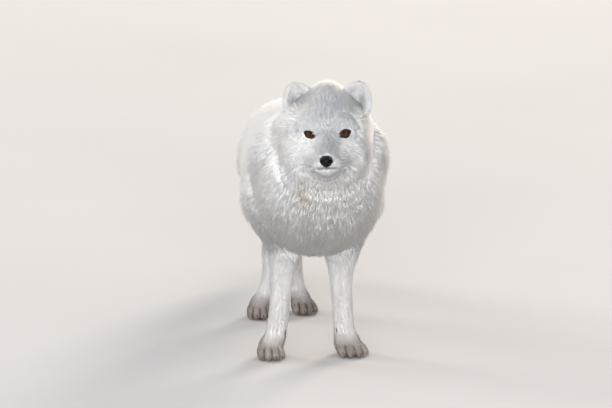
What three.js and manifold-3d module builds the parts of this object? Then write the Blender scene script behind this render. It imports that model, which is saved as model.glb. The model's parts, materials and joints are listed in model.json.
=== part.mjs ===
// Arctic fox in thick winter coat, standing with its head turned a little to one side, at life size.
// Millimetres, +Z up. The fox looks along -Y and its left side is +X.
// The flesh is one smooth outline out to the tips of the coat. It is made of rounded masses that run into
// each other, turned into facets on a grid, and parted into named pieces by thin flat cuts.
import * as THREE from "three";
import Module from "manifold-3d";

const wasm = await Module();
wasm.setup();

// ---------------------------------------------------------------- driving dimensions
// The drafting origin lies on the floor, midway between the two forefeet.
const EYE_HEIGHT = 309;
const EYE_SPACING = 43;
const EYEBALL_RADIUS = 8;
const HEAD_TURN = -12; // degrees, towards the fox's right
const HEAD_LIFT = -4; // degrees, nose up
const HEAD_TILT = -1.6; // degrees, left ear up
const ORBIT_SLANT = 21; // degrees, outer corners up
const MUZZLE_LENGTH = 66; // from the eyes to the tip of the nose
const NOSE_WIDTH = 16.5;
const SOFT_JOIN = 18; // how softly one large mass runs into the next
const CUT = 0.3; // width of a parting cut
const CLAW_LENGTH = 13;

const COAT_WHITE = { color: 0xe9ebec, roughness: 0.85, metalness: 0 };
const FACE_WHITE = { color: 0xdfe2e6, roughness: 0.85, metalness: 0 };
const EAR_GREY = { color: 0xc9ccca, roughness: 0.9, metalness: 0 };
const PAW_TAN = { color: 0xd8cdbf, roughness: 0.85, metalness: 0 };
const IRIS_BROWN = { color: 0x4a2c12, roughness: 0.12, metalness: 0 };
const NOSE_BLACK = { color: 0x141416, roughness: 0.45, metalness: 0 };
const CLAW_HORN = { color: 0x3a2a22, roughness: 0.4, metalness: 0 };

// ---------------------------------------------------------------- masses
// A mass is a function of a point: below zero inside, above zero outside, in millimetres near the surface.
function mix(a, b, t) {
  return a + (b - a) * t;
}

function softMin(a, b, k) {
  const t = Math.min(Math.max(0.5 + (0.5 * (b - a)) / k, 0), 1);
  return mix(b, a, t) - k * t * (1 - t);
}

function join(k, ...masses) {
  return (p) => masses.map((mass) => mass(p)).reduce((a, b) => softMin(a, b, k));
}

function fuse(...masses) {
  return (p) => Math.min(...masses.map((mass) => mass(p)));
}

// An egg has a centre, three radii and a lean in degrees about the fore-and-aft axis.
function egg(centre, radii, lean = 0) {
  const c = Math.cos(THREE.MathUtils.degToRad(lean));
  const s = Math.sin(THREE.MathUtils.degToRad(lean));
  return ([x, y, z]) => {
    const dx = x - centre[0];
    const dy = y - centre[1];
    const dz = z - centre[2];
    const q = [c * dx - s * dz, dy, s * dx + c * dz];
    const near = Math.hypot(q[0] / radii[0], q[1] / radii[1], q[2] / radii[2]);
    const slope = Math.hypot(q[0] / radii[0] ** 2, q[1] / radii[1] ** 2, q[2] / radii[2] ** 2);
    return (near * (near - 1)) / Math.max(slope, 1e-9);
  };
}

// A spine runs smoothly through stations [x, y, z, half height, half width / half height].
function throughStations(stations, steps) {
  const points = [];
  for (let i = 0; i < stations.length - 1; i++) {
    const before = stations[Math.max(i - 1, 0)];
    const from = stations[i];
    const to = stations[i + 1];
    const after = stations[Math.min(i + 2, stations.length - 1)];
    for (let k = 0; k < steps; k++) {
      const t = k / steps;
      points.push(from.map((b, n) => {
        const [a, c, d] = [before[n], to[n], after[n]];
        const bend = (2 * a - 5 * b + 4 * c - d) * t * t + (3 * b - a - 3 * c + d) * t ** 3;
        return 0.5 * (2 * b + (c - a) * t + bend);
      }));
    }
  }
  points.push(stations.at(-1));
  return points;
}

function spine(stations, steps = 4) {
  const points = throughStations(stations, steps);
  const lengths = points.slice(1).map((b, i) => (
    (b[0] - points[i][0]) ** 2 + (b[1] - points[i][1]) ** 2 + (b[2] - points[i][2]) ** 2
  ));
  return ([x, y, z]) => {
    let nearest = Infinity;
    for (let i = 0; i < lengths.length; i++) {
      const a = points[i];
      const b = points[i + 1];
      const run = (x - a[0]) * (b[0] - a[0]) + (y - a[1]) * (b[1] - a[1]) + (z - a[2]) * (b[2] - a[2]);
      const t = Math.min(Math.max(run / lengths[i], 0), 1);
      const across = (x - mix(a[0], b[0], t)) / mix(a[4], b[4], t);
      const along = y - mix(a[1], b[1], t);
      const up = z - mix(a[2], b[2], t);
      nearest = Math.min(nearest, Math.hypot(across, along, up) - mix(a[3], b[3], t));
    }
    return nearest;
  };
}

// ---------------------------------------------------------------- the fox's masses
const TRUNK = [
  [4, -28, 226, 75, 1.12],
  [3, 35, 219, 79, 1.11],
  [3, 110, 223, 73, 1.03],
  [7, 175, 230, 69, 0.95],
  [10, 230, 234, 61, 0.94],
  [10, 262, 234, 48, 0.95],
];
const NECK = [
  [4, 10, 252, 62, 1.15],
  [5, -28, 282, 57, 1.22],
  [5, -44, 302, 50, 1.25],
];
const THROAT = [
  [4, -30, 205, 60, 1.25],
  [3, -62, 238, 56, 1.2],
  [2, -90, 268, 45, 1.16],
];
const trunk = join(
  25,
  spine(TRUNK),
  spine(NECK),
  egg([6, -20, 263], [90, 50, 62]),
  spine(THROAT),
  egg([4, 0, 178], [54, 56, 40]),
);

const TAIL = [
  [10, 262, 240, 30, 1],
  [11, 300, 236, 29, 1],
  [15, 345, 210, 36, 1],
  [22, 395, 168, 43, 1],
  [31, 445, 124, 45, 1],
  [39, 492, 90, 36, 1],
  [45, 527, 71, 21, 1],
  [47, 540, 65, 12, 1],
];
const tail = spine(TAIL);

// A leg has its stations, and a foot with its place on the floor, half width and turn out in degrees.
// A foreleg has a dewclaw as well, high on its inner side.
const LEGS = {
  fore_right: {
    stations: [
      [-46, 6, 205, 42, 1],
      [-33, 14, 150, 26, 0.95],
      [-37, 9, 105, 15.5, 0.98],
      [-42, 5, 62, 13.8, 1],
      [-46, 3, 34, 13.5, 1.03],
      [-50, 0, 22, 13, 1.1],
    ],
    foot: { at: [-55.5, -4], halfWidth: 17.5, turn: -3 },
    dewclaw: [-36, -4, 36],
  },
  fore_left: {
    stations: [
      [52, 6, 205, 42, 1],
      [44, 14, 150, 27, 0.95],
      [40, 9, 105, 15.5, 1.03],
      [41, 5, 70, 13.6, 1.04],
      [42.5, 3, 40, 13.4, 1.05],
      [45, 0, 22, 13.5, 1.15],
    ],
    foot: { at: [49, -4], halfWidth: 21, turn: 10 },
    dewclaw: [32, -4, 36],
  },
  hind_right: {
    stations: [
      [-11, 230, 214, 47, 1],
      [-12, 220, 166, 32, 0.9],
      [-5, 262, 118, 19, 0.75],
      [-5, 290, 88, 13.5, 0.92],
      [-8, 277, 50, 12, 0.95],
      [-19, 262, 24, 12, 1.1],
    ],
    foot: { at: [-27, 254], halfWidth: 16, turn: -6 },
  },
  hind_left: {
    stations: [
      [32, 245, 214, 46, 1],
      [35, 238, 166, 33, 0.92],
      [33, 278, 118, 19, 0.82],
      [30, 306, 88, 13.5, 0.92],
      [28.5, 293, 50, 12, 0.93],
      [31, 280, 24, 12, 1.1],
    ],
    foot: { at: [36, 273], halfWidth: 16.5, turn: 5 },
  },
};

// Toes fan out from the middle of the foot, the two middle ones furthest forward.
const TOES = [
  { side: -0.68, ahead: 0 },
  { side: -0.24, ahead: 5 },
  { side: 0.24, ahead: 5 },
  { side: 0.68, ahead: 0 },
];

function footPlace({ at, turn }) {
  return new THREE.Matrix4()
    .makeRotationZ(THREE.MathUtils.degToRad(turn))
    .setPosition(at[0], at[1], 0);
}

// The same mass, moved and turned by a matrix.
function placed(matrix, mass) {
  const m = matrix.clone().invert().elements;
  return ([x, y, z]) => mass([
    m[0] * x + m[4] * y + m[8] * z + m[12],
    m[1] * x + m[5] * y + m[9] * z + m[13],
    m[2] * x + m[6] * y + m[10] * z + m[14],
  ]);
}

function toe(halfWidth, { side, ahead }) {
  return spine([
    [side * halfWidth * 0.8, 2 - ahead, 11, 7.5, 0.95],
    [side * halfWidth * 0.97, -8 - ahead, 9, 7.2, 0.92],
    [side * halfWidth * 1.08, -15 - ahead, 6, 5.4, 1],
  ], 2);
}

function foot(place) {
  const w = place.halfWidth;
  const pad = egg([0, 6, 13], [w * 0.82, 20, 15]);
  return placed(footPlace(place), join(3, pad, ...TOES.map((each) => toe(w, each))));
}

function leg({ stations, foot: place }) {
  return join(5, spine(stations), foot(place));
}

const legs = fuse(...Object.values(LEGS).map(leg));

// The head is drafted about the point midway between the eyes, looking along -Y.
const headPlace = new THREE.Matrix4()
  .makeRotationFromEuler(new THREE.Euler(
    THREE.MathUtils.degToRad(HEAD_LIFT),
    THREE.MathUtils.degToRad(HEAD_TILT),
    THREE.MathUtils.degToRad(HEAD_TURN),
    "ZXY",
  ))
  .setPosition(1, -105, EYE_HEIGHT);
const SIDES = { right: -1, left: 1 };
const bothSides = (make) => Object.values(SIDES).map(make);

const skull = join(
  16,
  egg([0, 45, 10], [39, 42, 53]),
  ...bothSides((s) => egg([s * 36, 50, 6], [18, 24, 26])),
  egg([0, 23, 3], [35, 21, 25]),
  ...bothSides((s) => egg([s * 30, 32, -15], [24, 29, 29])),
  ...bothSides((s) => egg([s * 26, 17, -27], [20, 23, 18])),
);
const brows = bothSides((s) => egg([s * 18, 12, 4], [17, 12, 16]));
const bridge = spine([
  [0, 18, -11, 20, 1],
  [0, -12, -18, 15.5, 0.95],
  [0, 15 - MUZZLE_LENGTH, -26.5, 10.5, 1],
]);
const lips = bothSides((s) => spine([
  [s * 15, 10, -31, 16, 1],
  [s * 10.5, -20, -34, 12.5, 1],
  [s * 8.5, 22 - MUZZLE_LENGTH, -34.5, 10, 1],
]));
const jaw = spine([
  [0, 8, -42, 17, 1.2],
  [0, -20, -43.5, 11, 1.2],
  [0, 24 - MUZZLE_LENGTH, -42, 7.2, 1.35],
]);
const face = join(7, join(12, skull, bridge), ...brows, ...lips, jaw);
const head = placed(headPlace, face);

const body = join(SOFT_JOIN, trunk, legs, tail, head);

// ---------------------------------------------------------------- from masses to solids
function solidFromArrays(positions, triangles) {
  return new wasm.Manifold(new wasm.Mesh({
    numProp: 3,
    vertProperties: Float32Array.from(positions.flat()),
    triVerts: Uint32Array.from(triangles.flat()),
  }));
}

const DIRECTIONS = [[1, 0, 0], [0, 1, 0], [0, 0, 1]];

function gradient(mass, p, step = 0.5) {
  return DIRECTIONS.map((d) => {
    const ahead = p.map((v, n) => v + d[n] * step);
    const behind = p.map((v, n) => v - d[n] * step);
    return (mass(ahead) - mass(behind)) / (2 * step);
  });
}

// Moves a point along the slope of a mass until it lies on its surface.
function ontoSurface(mass, start, reach) {
  let p = start;
  for (let round = 0; round < 3; round++) {
    const value = mass(p);
    const g = gradient(mass, p);
    const steepness = Math.max(g[0] ** 2 + g[1] ** 2 + g[2] ** 2, 0.2);
    const move = g.map((v) => (-v * value) / steepness);
    const far = Math.hypot(...move);
    const keep = far > reach ? reach / far : 1;
    p = p.map((v, n) => v + move[n] * keep);
  }
  return p;
}

// Facets a mass on a grid of cells. One vertex stands in each cell that the surface crosses.
function facet(mass, low, high, cell) {
  const size = low.map((v, n) => Math.ceil((high[n] - v) / cell[n]) + 1);
  const index = (i, j, k) => (i * size[1] + j) * size[2] + k;
  const values = new Float64Array(size[0] * size[1] * size[2]).fill(1);
  for (let i = 1; i < size[0] - 1; i++) {
    for (let j = 1; j < size[1] - 1; j++) {
      for (let k = 1; k < size[2] - 1; k++) {
        values[index(i, j, k)] = mass([low[0] + i * cell[0], low[1] + j * cell[1], low[2] + k * cell[2]]);
      }
    }
  }
  const CORNERS = [...Array(8).keys()].map((n) => [n & 1, (n >> 1) & 1, (n >> 2) & 1]);
  const EDGES = [];
  for (const a of CORNERS) {
    for (const d of DIRECTIONS) {
      const b = a.map((v, n) => v + d[n]);
      if (Math.max(...b) < 2) EDGES.push([a, b]);
    }
  }
  const vertexOf = new Map();
  const vertices = [];
  const reach = 0.5 * Math.min(...cell);
  for (let i = 0; i < size[0] - 1; i++) {
    for (let j = 0; j < size[1] - 1; j++) {
      for (let k = 0; k < size[2] - 1; k++) {
        const sum = [0, 0, 0];
        let crossings = 0;
        for (const [a, b] of EDGES) {
          const va = values[index(i + a[0], j + a[1], k + a[2])];
          const vb = values[index(i + b[0], j + b[1], k + b[2])];
          if (va < 0 === vb < 0) continue;
          const t = va / (va - vb);
          for (let n = 0; n < 3; n++) sum[n] += mix(a[n], b[n], t);
          crossings++;
        }
        if (!crossings) continue;
        const at = [i, j, k].map((v, n) => low[n] + (v + sum[n] / crossings) * cell[n]);
        vertexOf.set(index(i, j, k), vertices.length);
        vertices.push(ontoSurface(mass, at, reach));
      }
    }
  }
  const triangles = [];
  const addQuad = (a, b, c, d) => {
    const gap = (m, n) => Math.hypot(...vertices[m].map((v, i) => v - vertices[n][i]));
    if (gap(a, c) <= gap(b, d)) triangles.push([a, b, c], [a, c, d]);
    else triangles.push([b, c, d], [b, d, a]);
  };
  for (let i = 0; i < size[0] - 1; i++) {
    for (let j = 0; j < size[1] - 1; j++) {
      for (let k = 0; k < size[2] - 1; k++) {
        DIRECTIONS.forEach((d, n) => {
          const inside = values[index(i, j, k)] < 0;
          if (inside === values[index(i + d[0], j + d[1], k + d[2])] < 0) return;
          const e = DIRECTIONS[(n + 1) % 3];
          const f = DIRECTIONS[(n + 2) % 3];
          const around = [[0, 0], [1, 0], [1, 1], [0, 1]].map(([u, v]) => (
            vertexOf.get(index(i - u * e[0] - v * f[0], j - u * e[1] - v * f[1], k - u * e[2] - v * f[2]))
          ));
          if (inside) addQuad(...around);
          else addQuad(...around.reverse());
        });
      }
    }
  }
  return solidFromArrays(vertices, triangles);
}

// ---------------------------------------------------------------- cutters
const VAST = 1500;

function geometrySolid(geometry, matrix = new THREE.Matrix4()) {
  const moved = geometry.clone().applyMatrix4(matrix);
  const position = moved.getAttribute("position");
  const keys = new Map();
  const points = [];
  const remap = [];
  for (let i = 0; i < position.count; i++) {
    const point = [position.getX(i), position.getY(i), position.getZ(i)];
    const key = point.map((v) => Math.round(v * 1e4)).join();
    if (!keys.has(key)) {
      keys.set(key, points.length);
      points.push(point);
    }
    remap.push(keys.get(key));
  }
  const order = moved.index ? [...moved.index.array] : [...remap.keys()];
  const triangles = [];
  for (let i = 0; i < order.length; i += 3) {
    const [a, b, c] = [remap[order[i]], remap[order[i + 1]], remap[order[i + 2]]];
    if (a !== b && b !== c && c !== a) triangles.push([a, b, c]);
  }
  return solidFromArrays(points, triangles);
}

function box(low, high) {
  const size = high.map((v, n) => v - low[n]);
  const centre = high.map((v, n) => (v + low[n]) / 2);
  const matrix = new THREE.Matrix4().makeTranslation(...centre);
  return geometrySolid(new THREE.BoxGeometry(...size), matrix);
}

// All that lies ahead of a plane through a point, shifted along the plane's normal.
function ahead(point, normal, shift = 0, place = new THREE.Matrix4()) {
  const way = new THREE.Vector3(...normal).normalize();
  const turn = new THREE.Quaternion().setFromUnitVectors(new THREE.Vector3(0, 0, 1), way);
  const centre = new THREE.Vector3(...point).addScaledVector(way, shift + VAST / 2);
  const matrix = new THREE.Matrix4().makeRotationFromQuaternion(turn).setPosition(centre);
  return geometrySolid(new THREE.BoxGeometry(VAST, VAST, VAST), place.clone().multiply(matrix));
}

function behind(point, normal, shift = 0, place = new THREE.Matrix4()) {
  return ahead(point, normal.map((v) => -v), shift, place);
}

function within(solid, ...cutters) {
  return cutters.reduce((left, cutter) => left.intersect(cutter), solid);
}

function without(solid, ...cutters) {
  return cutters.reduce((left, cutter) => left.subtract(cutter), solid);
}

// ---------------------------------------------------------------- the exported group
const fox = new THREE.Group();
fox.name = "arctic_fox";

const SLIVER = 0.06; // facets thinner than this are left out

// Adds the largest body of a solid as one named mesh.
function addPiece(name, finish, solid) {
  const largest = solid.decompose().sort((a, b) => b.volume() - a.volume())[0];
  const mesh = largest.simplify(SLIVER).getMesh();
  const geometry = new THREE.BufferGeometry();
  const position = new Float32Array(mesh.numVert * 3);
  for (let i = 0; i < mesh.numVert; i++) {
    position.set(mesh.vertProperties.subarray(i * mesh.numProp, i * mesh.numProp + 3), i * 3);
  }
  geometry.setAttribute("position", new THREE.BufferAttribute(position, 3));
  geometry.setIndex(new THREE.BufferAttribute(Uint32Array.from(mesh.triVerts), 1));
  geometry.computeVertexNormals();
  const piece = new THREE.Mesh(geometry, new THREE.MeshStandardMaterial(finish));
  piece.name = name;
  fox.add(piece);
}

// ---------------------------------------------------------------- grids that the flesh is faceted on
const GRIDS = {
  chest: { low: [-125, -170, 80], high: [132, 125, 360], cell: [22.5, 29, 22.5] },
  loin: { low: [-125, 65, 80], high: [132, 216, 340], cell: [21, 28, 21] },
  rump: { low: [-125, 156, 80], high: [132, 360, 340], cell: [21, 28, 21] },
  tail_root: { low: [-60, 262, 60], high: [90, 480, 300], cell: [20, 22, 20] },
  tail_brush: { low: [-60, 370, 10], high: [110, 590, 230], cell: [18, 18, 18] },
  neck: { low: [-125, -170, 130], high: [132, 60, 385], cell: [22.5, 22.5, 22.5] },
  head: { low: [-115, -165, 190], high: [115, 10, 385], cell: [13, 13, 13] },
  muzzle: { low: [-65, -185, 230], high: [50, -100, 330], cell: [7.2, 9, 7.2] },
  nose: { low: [-45, -190, 255], high: [25, -145, 305], cell: [3.3, 3.8, 3.3] },
};
const LEG_CELLS = { upper: [12.5, 12.5, 14], lower: [8.5, 9, 19], foot: [7.6, 8.4, 7.6] };
const EAR_CELL = [6.6, 5, 6.6];

function flesh(name, mass = body) {
  const { low, high, cell } = GRIDS[name];
  return facet(mass, low, high, cell);
}

// The part of a leg between two corners, faceted a little past them.
function legFlesh(part, low, high) {
  const cell = LEG_CELLS[part];
  const margin = cell.map((v) => v * 1.7);
  return facet(body, low.map((v, n) => v - margin[n]), high.map((v, n) => v + margin[n]), cell);
}

// ---------------------------------------------------------------- parting planes and boxes
const HALF = CUT / 2;
const NAPE_CUT = { at: [0, 34, -12], way: [0, -0.77, 0.64] }; // in the head's own frame
const COLLAR_CUT = { at: [4, -35, 250], way: [0, -0.8, 0.6] };
const CHEST_END = 95;
const LOIN_END = 186;
const TAIL_CUT = { at: [11, 306, 236], way: [0.05, 1, -0.12] };
const TAIL_MID = { at: [27, 420, 146], way: [0.13, 0.74, -0.65] };
const MUZZLE_CUT = { at: [0, -20, -20], way: [0, -1, 0.1] };
const MOUTH_CUT = { at: [0, -50, -38], way: [0, 0.03, 1] };
// Each leg is parted by an upright box from the rest of the flesh, and by three levels.
const LEG_BOXES = {
  fore_right: { low: [-75, -75], high: [-9, 80], top: 146, knee: 88, ankle: 26 },
  fore_left: { low: [14, -75], high: [80, 80], top: 146, knee: 88, ankle: 26 },
  hind_right: { low: [-75, LOIN_END], high: [9, 345], top: 158, knee: 104, ankle: 25 },
  hind_left: { low: [9, LOIN_END], high: [80, 345], top: 158, knee: 104, ankle: 25 },
};

// ---------------------------------------------------------------- claws
const CLAW_RADIUS = 1.6;
const CLAW_DROOP = 7; // how far the tip hangs below the root
const CLAW_TAPER = 0.35; // share of its width lost by halfway along
const CLAW_DEPTH = 1.25; // depth over width
const CLAW_SPLAY = 0.12; // radians for each half width aside
const CLAW_ROOT = { spread: 1.08, ahead: 13.5, level: 8.6 }; // where a toe's claw leaves it
const DEWCLAW_SIZE = 0.7;
const DEWCLAW_PITCH = 55; // degrees, tip down

// A claw is a bent four-sided spike, drafted along -Y from its sunk root. Its socket is grown by the cut.
function claw(grow) {
  const halfway = (1 - CLAW_TAPER) * CLAW_RADIUS;
  const rings = [[grow, 0, CLAW_RADIUS + grow], [-CLAW_LENGTH / 2, -CLAW_DROOP / 4, halfway + grow]];
  const points = rings.flatMap(([y, level, out]) => (
    [[out, 0], [0, out], [-out, 0], [0, -out]].map(([x, z]) => [x, y, level + z * CLAW_DEPTH])
  ));
  const tip = points.push([0, -CLAW_LENGTH - 4 * grow, -CLAW_DROOP - 3 * grow]) - 1;
  const root = points.push([0, grow, 0]) - 1;
  const triangles = [];
  for (let side = 0; side < 4; side++) {
    const next = (side + 1) % 4;
    triangles.push([root, next, side]);
    triangles.push([side, next, next + 4], [side, next + 4, side + 4]);
    triangles.push([side + 4, next + 4, tip]);
  }
  const geometry = new THREE.BufferGeometry();
  geometry.setAttribute("position", new THREE.BufferAttribute(Float32Array.from(points.flat()), 3));
  geometry.setIndex(triangles.flat());
  return geometry;
}

const clawShape = claw(0);
const clawSocket = claw(CUT);

function clawPlaces(legName) {
  const place = LEGS[legName].foot;
  const names = ["outer", "mid_outer", "mid_inner", "inner"];
  if (legName.endsWith("left")) names.reverse();
  return TOES.map(({ side, ahead: forward }, n) => ({
    name: names[n],
    matrix: footPlace(place).multiply(
      new THREE.Matrix4()
        .makeRotationZ(side * CLAW_SPLAY)
        .setPosition(
          side * place.halfWidth * CLAW_ROOT.spread,
          -CLAW_ROOT.ahead - forward,
          CLAW_ROOT.level,
        ),
    ),
  }));
}

function dewclawPlace(at) {
  return new THREE.Matrix4()
    .makeRotationX(THREE.MathUtils.degToRad(DEWCLAW_PITCH))
    .scale(new THREE.Vector3(DEWCLAW_SIZE, DEWCLAW_SIZE, DEWCLAW_SIZE))
    .setPosition(...at);
}

// ---------------------------------------------------------------- flesh of the legs
const SHANK_REACH = { inwards: 32, outwards: 48 }; // how far aside of the foot its shank is looked for
const FOOT_REACH = { aside: 30, ahead: 34, back: 36 };
const legSpaces = [];
for (const [name, { low, high, top, knee, ankle }] of Object.entries(LEG_BOXES)) {
  const [end, side] = name.split("_");
  const { foot: { at }, dewclaw } = LEGS[name];
  const between = (bottom, above) => box(
    [low[0] + HALF, low[1] + HALF, bottom],
    [high[0] - HALF, high[1] - HALF, above],
  );
  const upper = legFlesh("upper", [...low, knee], [...high, top]);
  addPiece(`${end}leg_${side}_upper`, COAT_WHITE, within(upper, between(knee + HALF, top - HALF)));
  let lower = within(
    legFlesh(
      "lower",
      [at[0] - SHANK_REACH.inwards, low[1], ankle],
      [at[0] + SHANK_REACH.outwards, high[1], knee],
    ),
    between(ankle + HALF, knee - HALF),
  );
  if (dewclaw) {
    const matrix = dewclawPlace(dewclaw);
    lower = lower.subtract(geometrySolid(clawSocket, matrix));
    addPiece(`claw_${name}_dew`, CLAW_HORN, geometrySolid(clawShape, matrix));
  }
  addPiece(`${end}leg_${side}_lower`, COAT_WHITE, lower);
  const sole = legFlesh(
    "foot",
    [at[0] - FOOT_REACH.aside, at[1] - FOOT_REACH.ahead, 0],
    [at[0] + FOOT_REACH.aside, at[1] + FOOT_REACH.back, ankle],
  );
  const claws = clawPlaces(name);
  const sockets = claws.map(({ matrix }) => geometrySolid(clawSocket, matrix));
  addPiece(`${end}foot_${side}`, PAW_TAN, without(within(sole, between(0, ankle - HALF)), ...sockets));
  for (const each of claws) {
    addPiece(`claw_${name}_${each.name}`, CLAW_HORN, geometrySolid(clawShape, each.matrix));
  }
  legSpaces.push(box(
    [low[0] - HALF, low[1] - HALF, 0],
    [high[0] + HALF, high[1] + HALF, top + HALF],
  ));
}

// ---------------------------------------------------------------- trunk, neck and tail
const LENGTHWAYS = [0, 1, 0];
addPiece("chest", COAT_WHITE, without(
  within(
    flesh("chest"),
    behind(COLLAR_CUT.at, COLLAR_CUT.way, HALF),
    behind([0, CHEST_END, 0], LENGTHWAYS, HALF),
  ),
  ...legSpaces,
));
addPiece("loin", COAT_WHITE, without(
  within(
    flesh("loin"),
    ahead([0, CHEST_END, 0], LENGTHWAYS, HALF),
    behind([0, LOIN_END, 0], LENGTHWAYS, HALF),
  ),
  ...legSpaces,
));
addPiece("rump", COAT_WHITE, without(
  within(
    flesh("rump"),
    ahead([0, LOIN_END, 0], LENGTHWAYS, HALF),
    behind(TAIL_CUT.at, TAIL_CUT.way, HALF),
  ),
  ...legSpaces,
));
addPiece("tail_root", COAT_WHITE, within(
  flesh("tail_root"),
  ahead(TAIL_CUT.at, TAIL_CUT.way, HALF),
  behind(TAIL_MID.at, TAIL_MID.way, HALF),
));
addPiece("tail_brush", COAT_WHITE, within(
  flesh("tail_brush"),
  ahead(TAIL_MID.at, TAIL_MID.way, HALF),
));
addPiece("neck", COAT_WHITE, within(
  flesh("neck"),
  ahead(COLLAR_CUT.at, COLLAR_CUT.way, HALF),
  behind(NAPE_CUT.at, NAPE_CUT.way, HALF, headPlace),
));

// ---------------------------------------------------------------- head
const EAR_AT = [33.5, 44, 33]; // the left ear's middle, in the head's own frame
const EAR_LEAN = 15; // degrees, outwards
const EAR_REACH = 44; // from its middle past its tip
const ORBIT_RADII = [9, 7, 5.8];
const EYE_BACK = 5; // the eyeballs' centres lie this far behind the head's own origin
const ORBIT_OUT = 0.5; // the almonds' middles lie this far outside the balls'
const ORBIT_LEVEL = -4; // how far ahead of the eyes' centres the lids' almonds lie

function eyePlace(s, out = 0, level = EYE_BACK) {
  return headPlace.clone().multiply(
    new THREE.Matrix4().makeTranslation(s * (EYE_SPACING / 2 + out), level, 0),
  );
}

const eyeBall = new THREE.SphereGeometry(EYEBALL_RADIUS, 10, 7);
const eyeSocket = new THREE.SphereGeometry(EYEBALL_RADIUS + 2 * CUT, 10, 7);

// The lids stand back from the ball in an almond that slants up towards the ear.
function orbit(s) {
  const matrix = eyePlace(s, ORBIT_OUT, ORBIT_LEVEL)
    .multiply(new THREE.Matrix4().makeRotationY(THREE.MathUtils.degToRad(-s * ORBIT_SLANT)))
    .scale(new THREE.Vector3(...ORBIT_RADII));
  return geometrySolid(new THREE.SphereGeometry(1, 10, 7), matrix);
}

const noseMass = join(
  2,
  egg([0, 8 - MUZZLE_LENGTH, -27.7], [NOSE_WIDTH / 2, 8, 6.2]),
  egg([0, 8.5 - MUZZLE_LENGTH, -31.2], [NOSE_WIDTH * 0.31, 7, 4.9]),
);
const noseSocket = flesh("nose", placed(headPlace, (p) => noseMass(p) - CUT * 1.5));
addPiece("nose", NOSE_BLACK, flesh("nose", placed(headPlace, noseMass)));
addPiece("head", FACE_WHITE, without(
  within(
    flesh("head"),
    ahead(NAPE_CUT.at, NAPE_CUT.way, HALF, headPlace),
    behind(MUZZLE_CUT.at, MUZZLE_CUT.way, HALF, headPlace),
  ),
  ...bothSides((s) => geometrySolid(eyeSocket, eyePlace(s))),
  ...bothSides(orbit),
));
addPiece("muzzle", FACE_WHITE, without(
  within(
    flesh("muzzle"),
    ahead(MUZZLE_CUT.at, MUZZLE_CUT.way, HALF, headPlace),
    ahead(MOUTH_CUT.at, MOUTH_CUT.way, HALF, headPlace),
  ),
  noseSocket,
));
addPiece("jaw", FACE_WHITE, without(
  within(
    flesh("muzzle"),
    ahead(MUZZLE_CUT.at, MUZZLE_CUT.way, HALF, headPlace),
    behind(MOUTH_CUT.at, MOUTH_CUT.way, HALF, headPlace),
  ),
  noseSocket,
));

// Each ear is a rounded cup that opens forwards and outwards, with a lobe that runs in to the crown.
const headSpace = flesh("head", (p) => body(p) - CUT);
for (const [side, s] of Object.entries(SIDES)) {
  const [out, back, up] = EAR_AT;
  const shell = join(
    6,
    egg([s * out, back, up], [19.7, 13, 31.5], s * EAR_LEAN),
    egg([s * (out - 7), back + 2, up + 10], [16.5, 10, 10], -2 * s * EAR_LEAN),
  );
  const cup = join(
    6,
    egg([s * out, back - 13, up + 1], [14.8, 11.5, 25.5], s * EAR_LEAN),
    egg([s * (out - 6), back - 10, up + 9], [12.5, 10, 7], -2 * s * EAR_LEAN),
  );
  const ear = placed(headPlace, (p) => Math.max(shell(p), -cup(p)));
  const middle = new THREE.Vector3(s * out, back, up).applyMatrix4(headPlace).toArray();
  const low = middle.map((v) => v - EAR_REACH);
  const high = middle.map((v) => v + EAR_REACH);
  const solid = facet(ear, low, high, EAR_CELL);
  addPiece(`ear_${side}`, EAR_GREY, solid.subtract(headSpace));
  addPiece(`eye_${side}`, IRIS_BROWN, geometrySolid(eyeBall, eyePlace(s)));
}

// ---------------------------------------------------------------- final place
// The origin stands on the floor under the middle of the whole fox.
const bounds = new THREE.Box3().setFromObject(fox);
const centre = bounds.getCenter(new THREE.Vector3());
fox.position.set(-centre.x, -centre.y, -bounds.min.z);

export default fox;
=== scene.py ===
"""Arctic fox in winter coat: one skin dressed with tufts, eyes with lids, nose, whiskers and claws."""
import json
import math
from functools import reduce
from itertools import product

import bmesh
import bpy
import numpy as np
from bpy.props import FloatProperty, FloatVectorProperty, IntProperty, PointerProperty
from mathutils import Euler, Matrix, Vector

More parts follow.
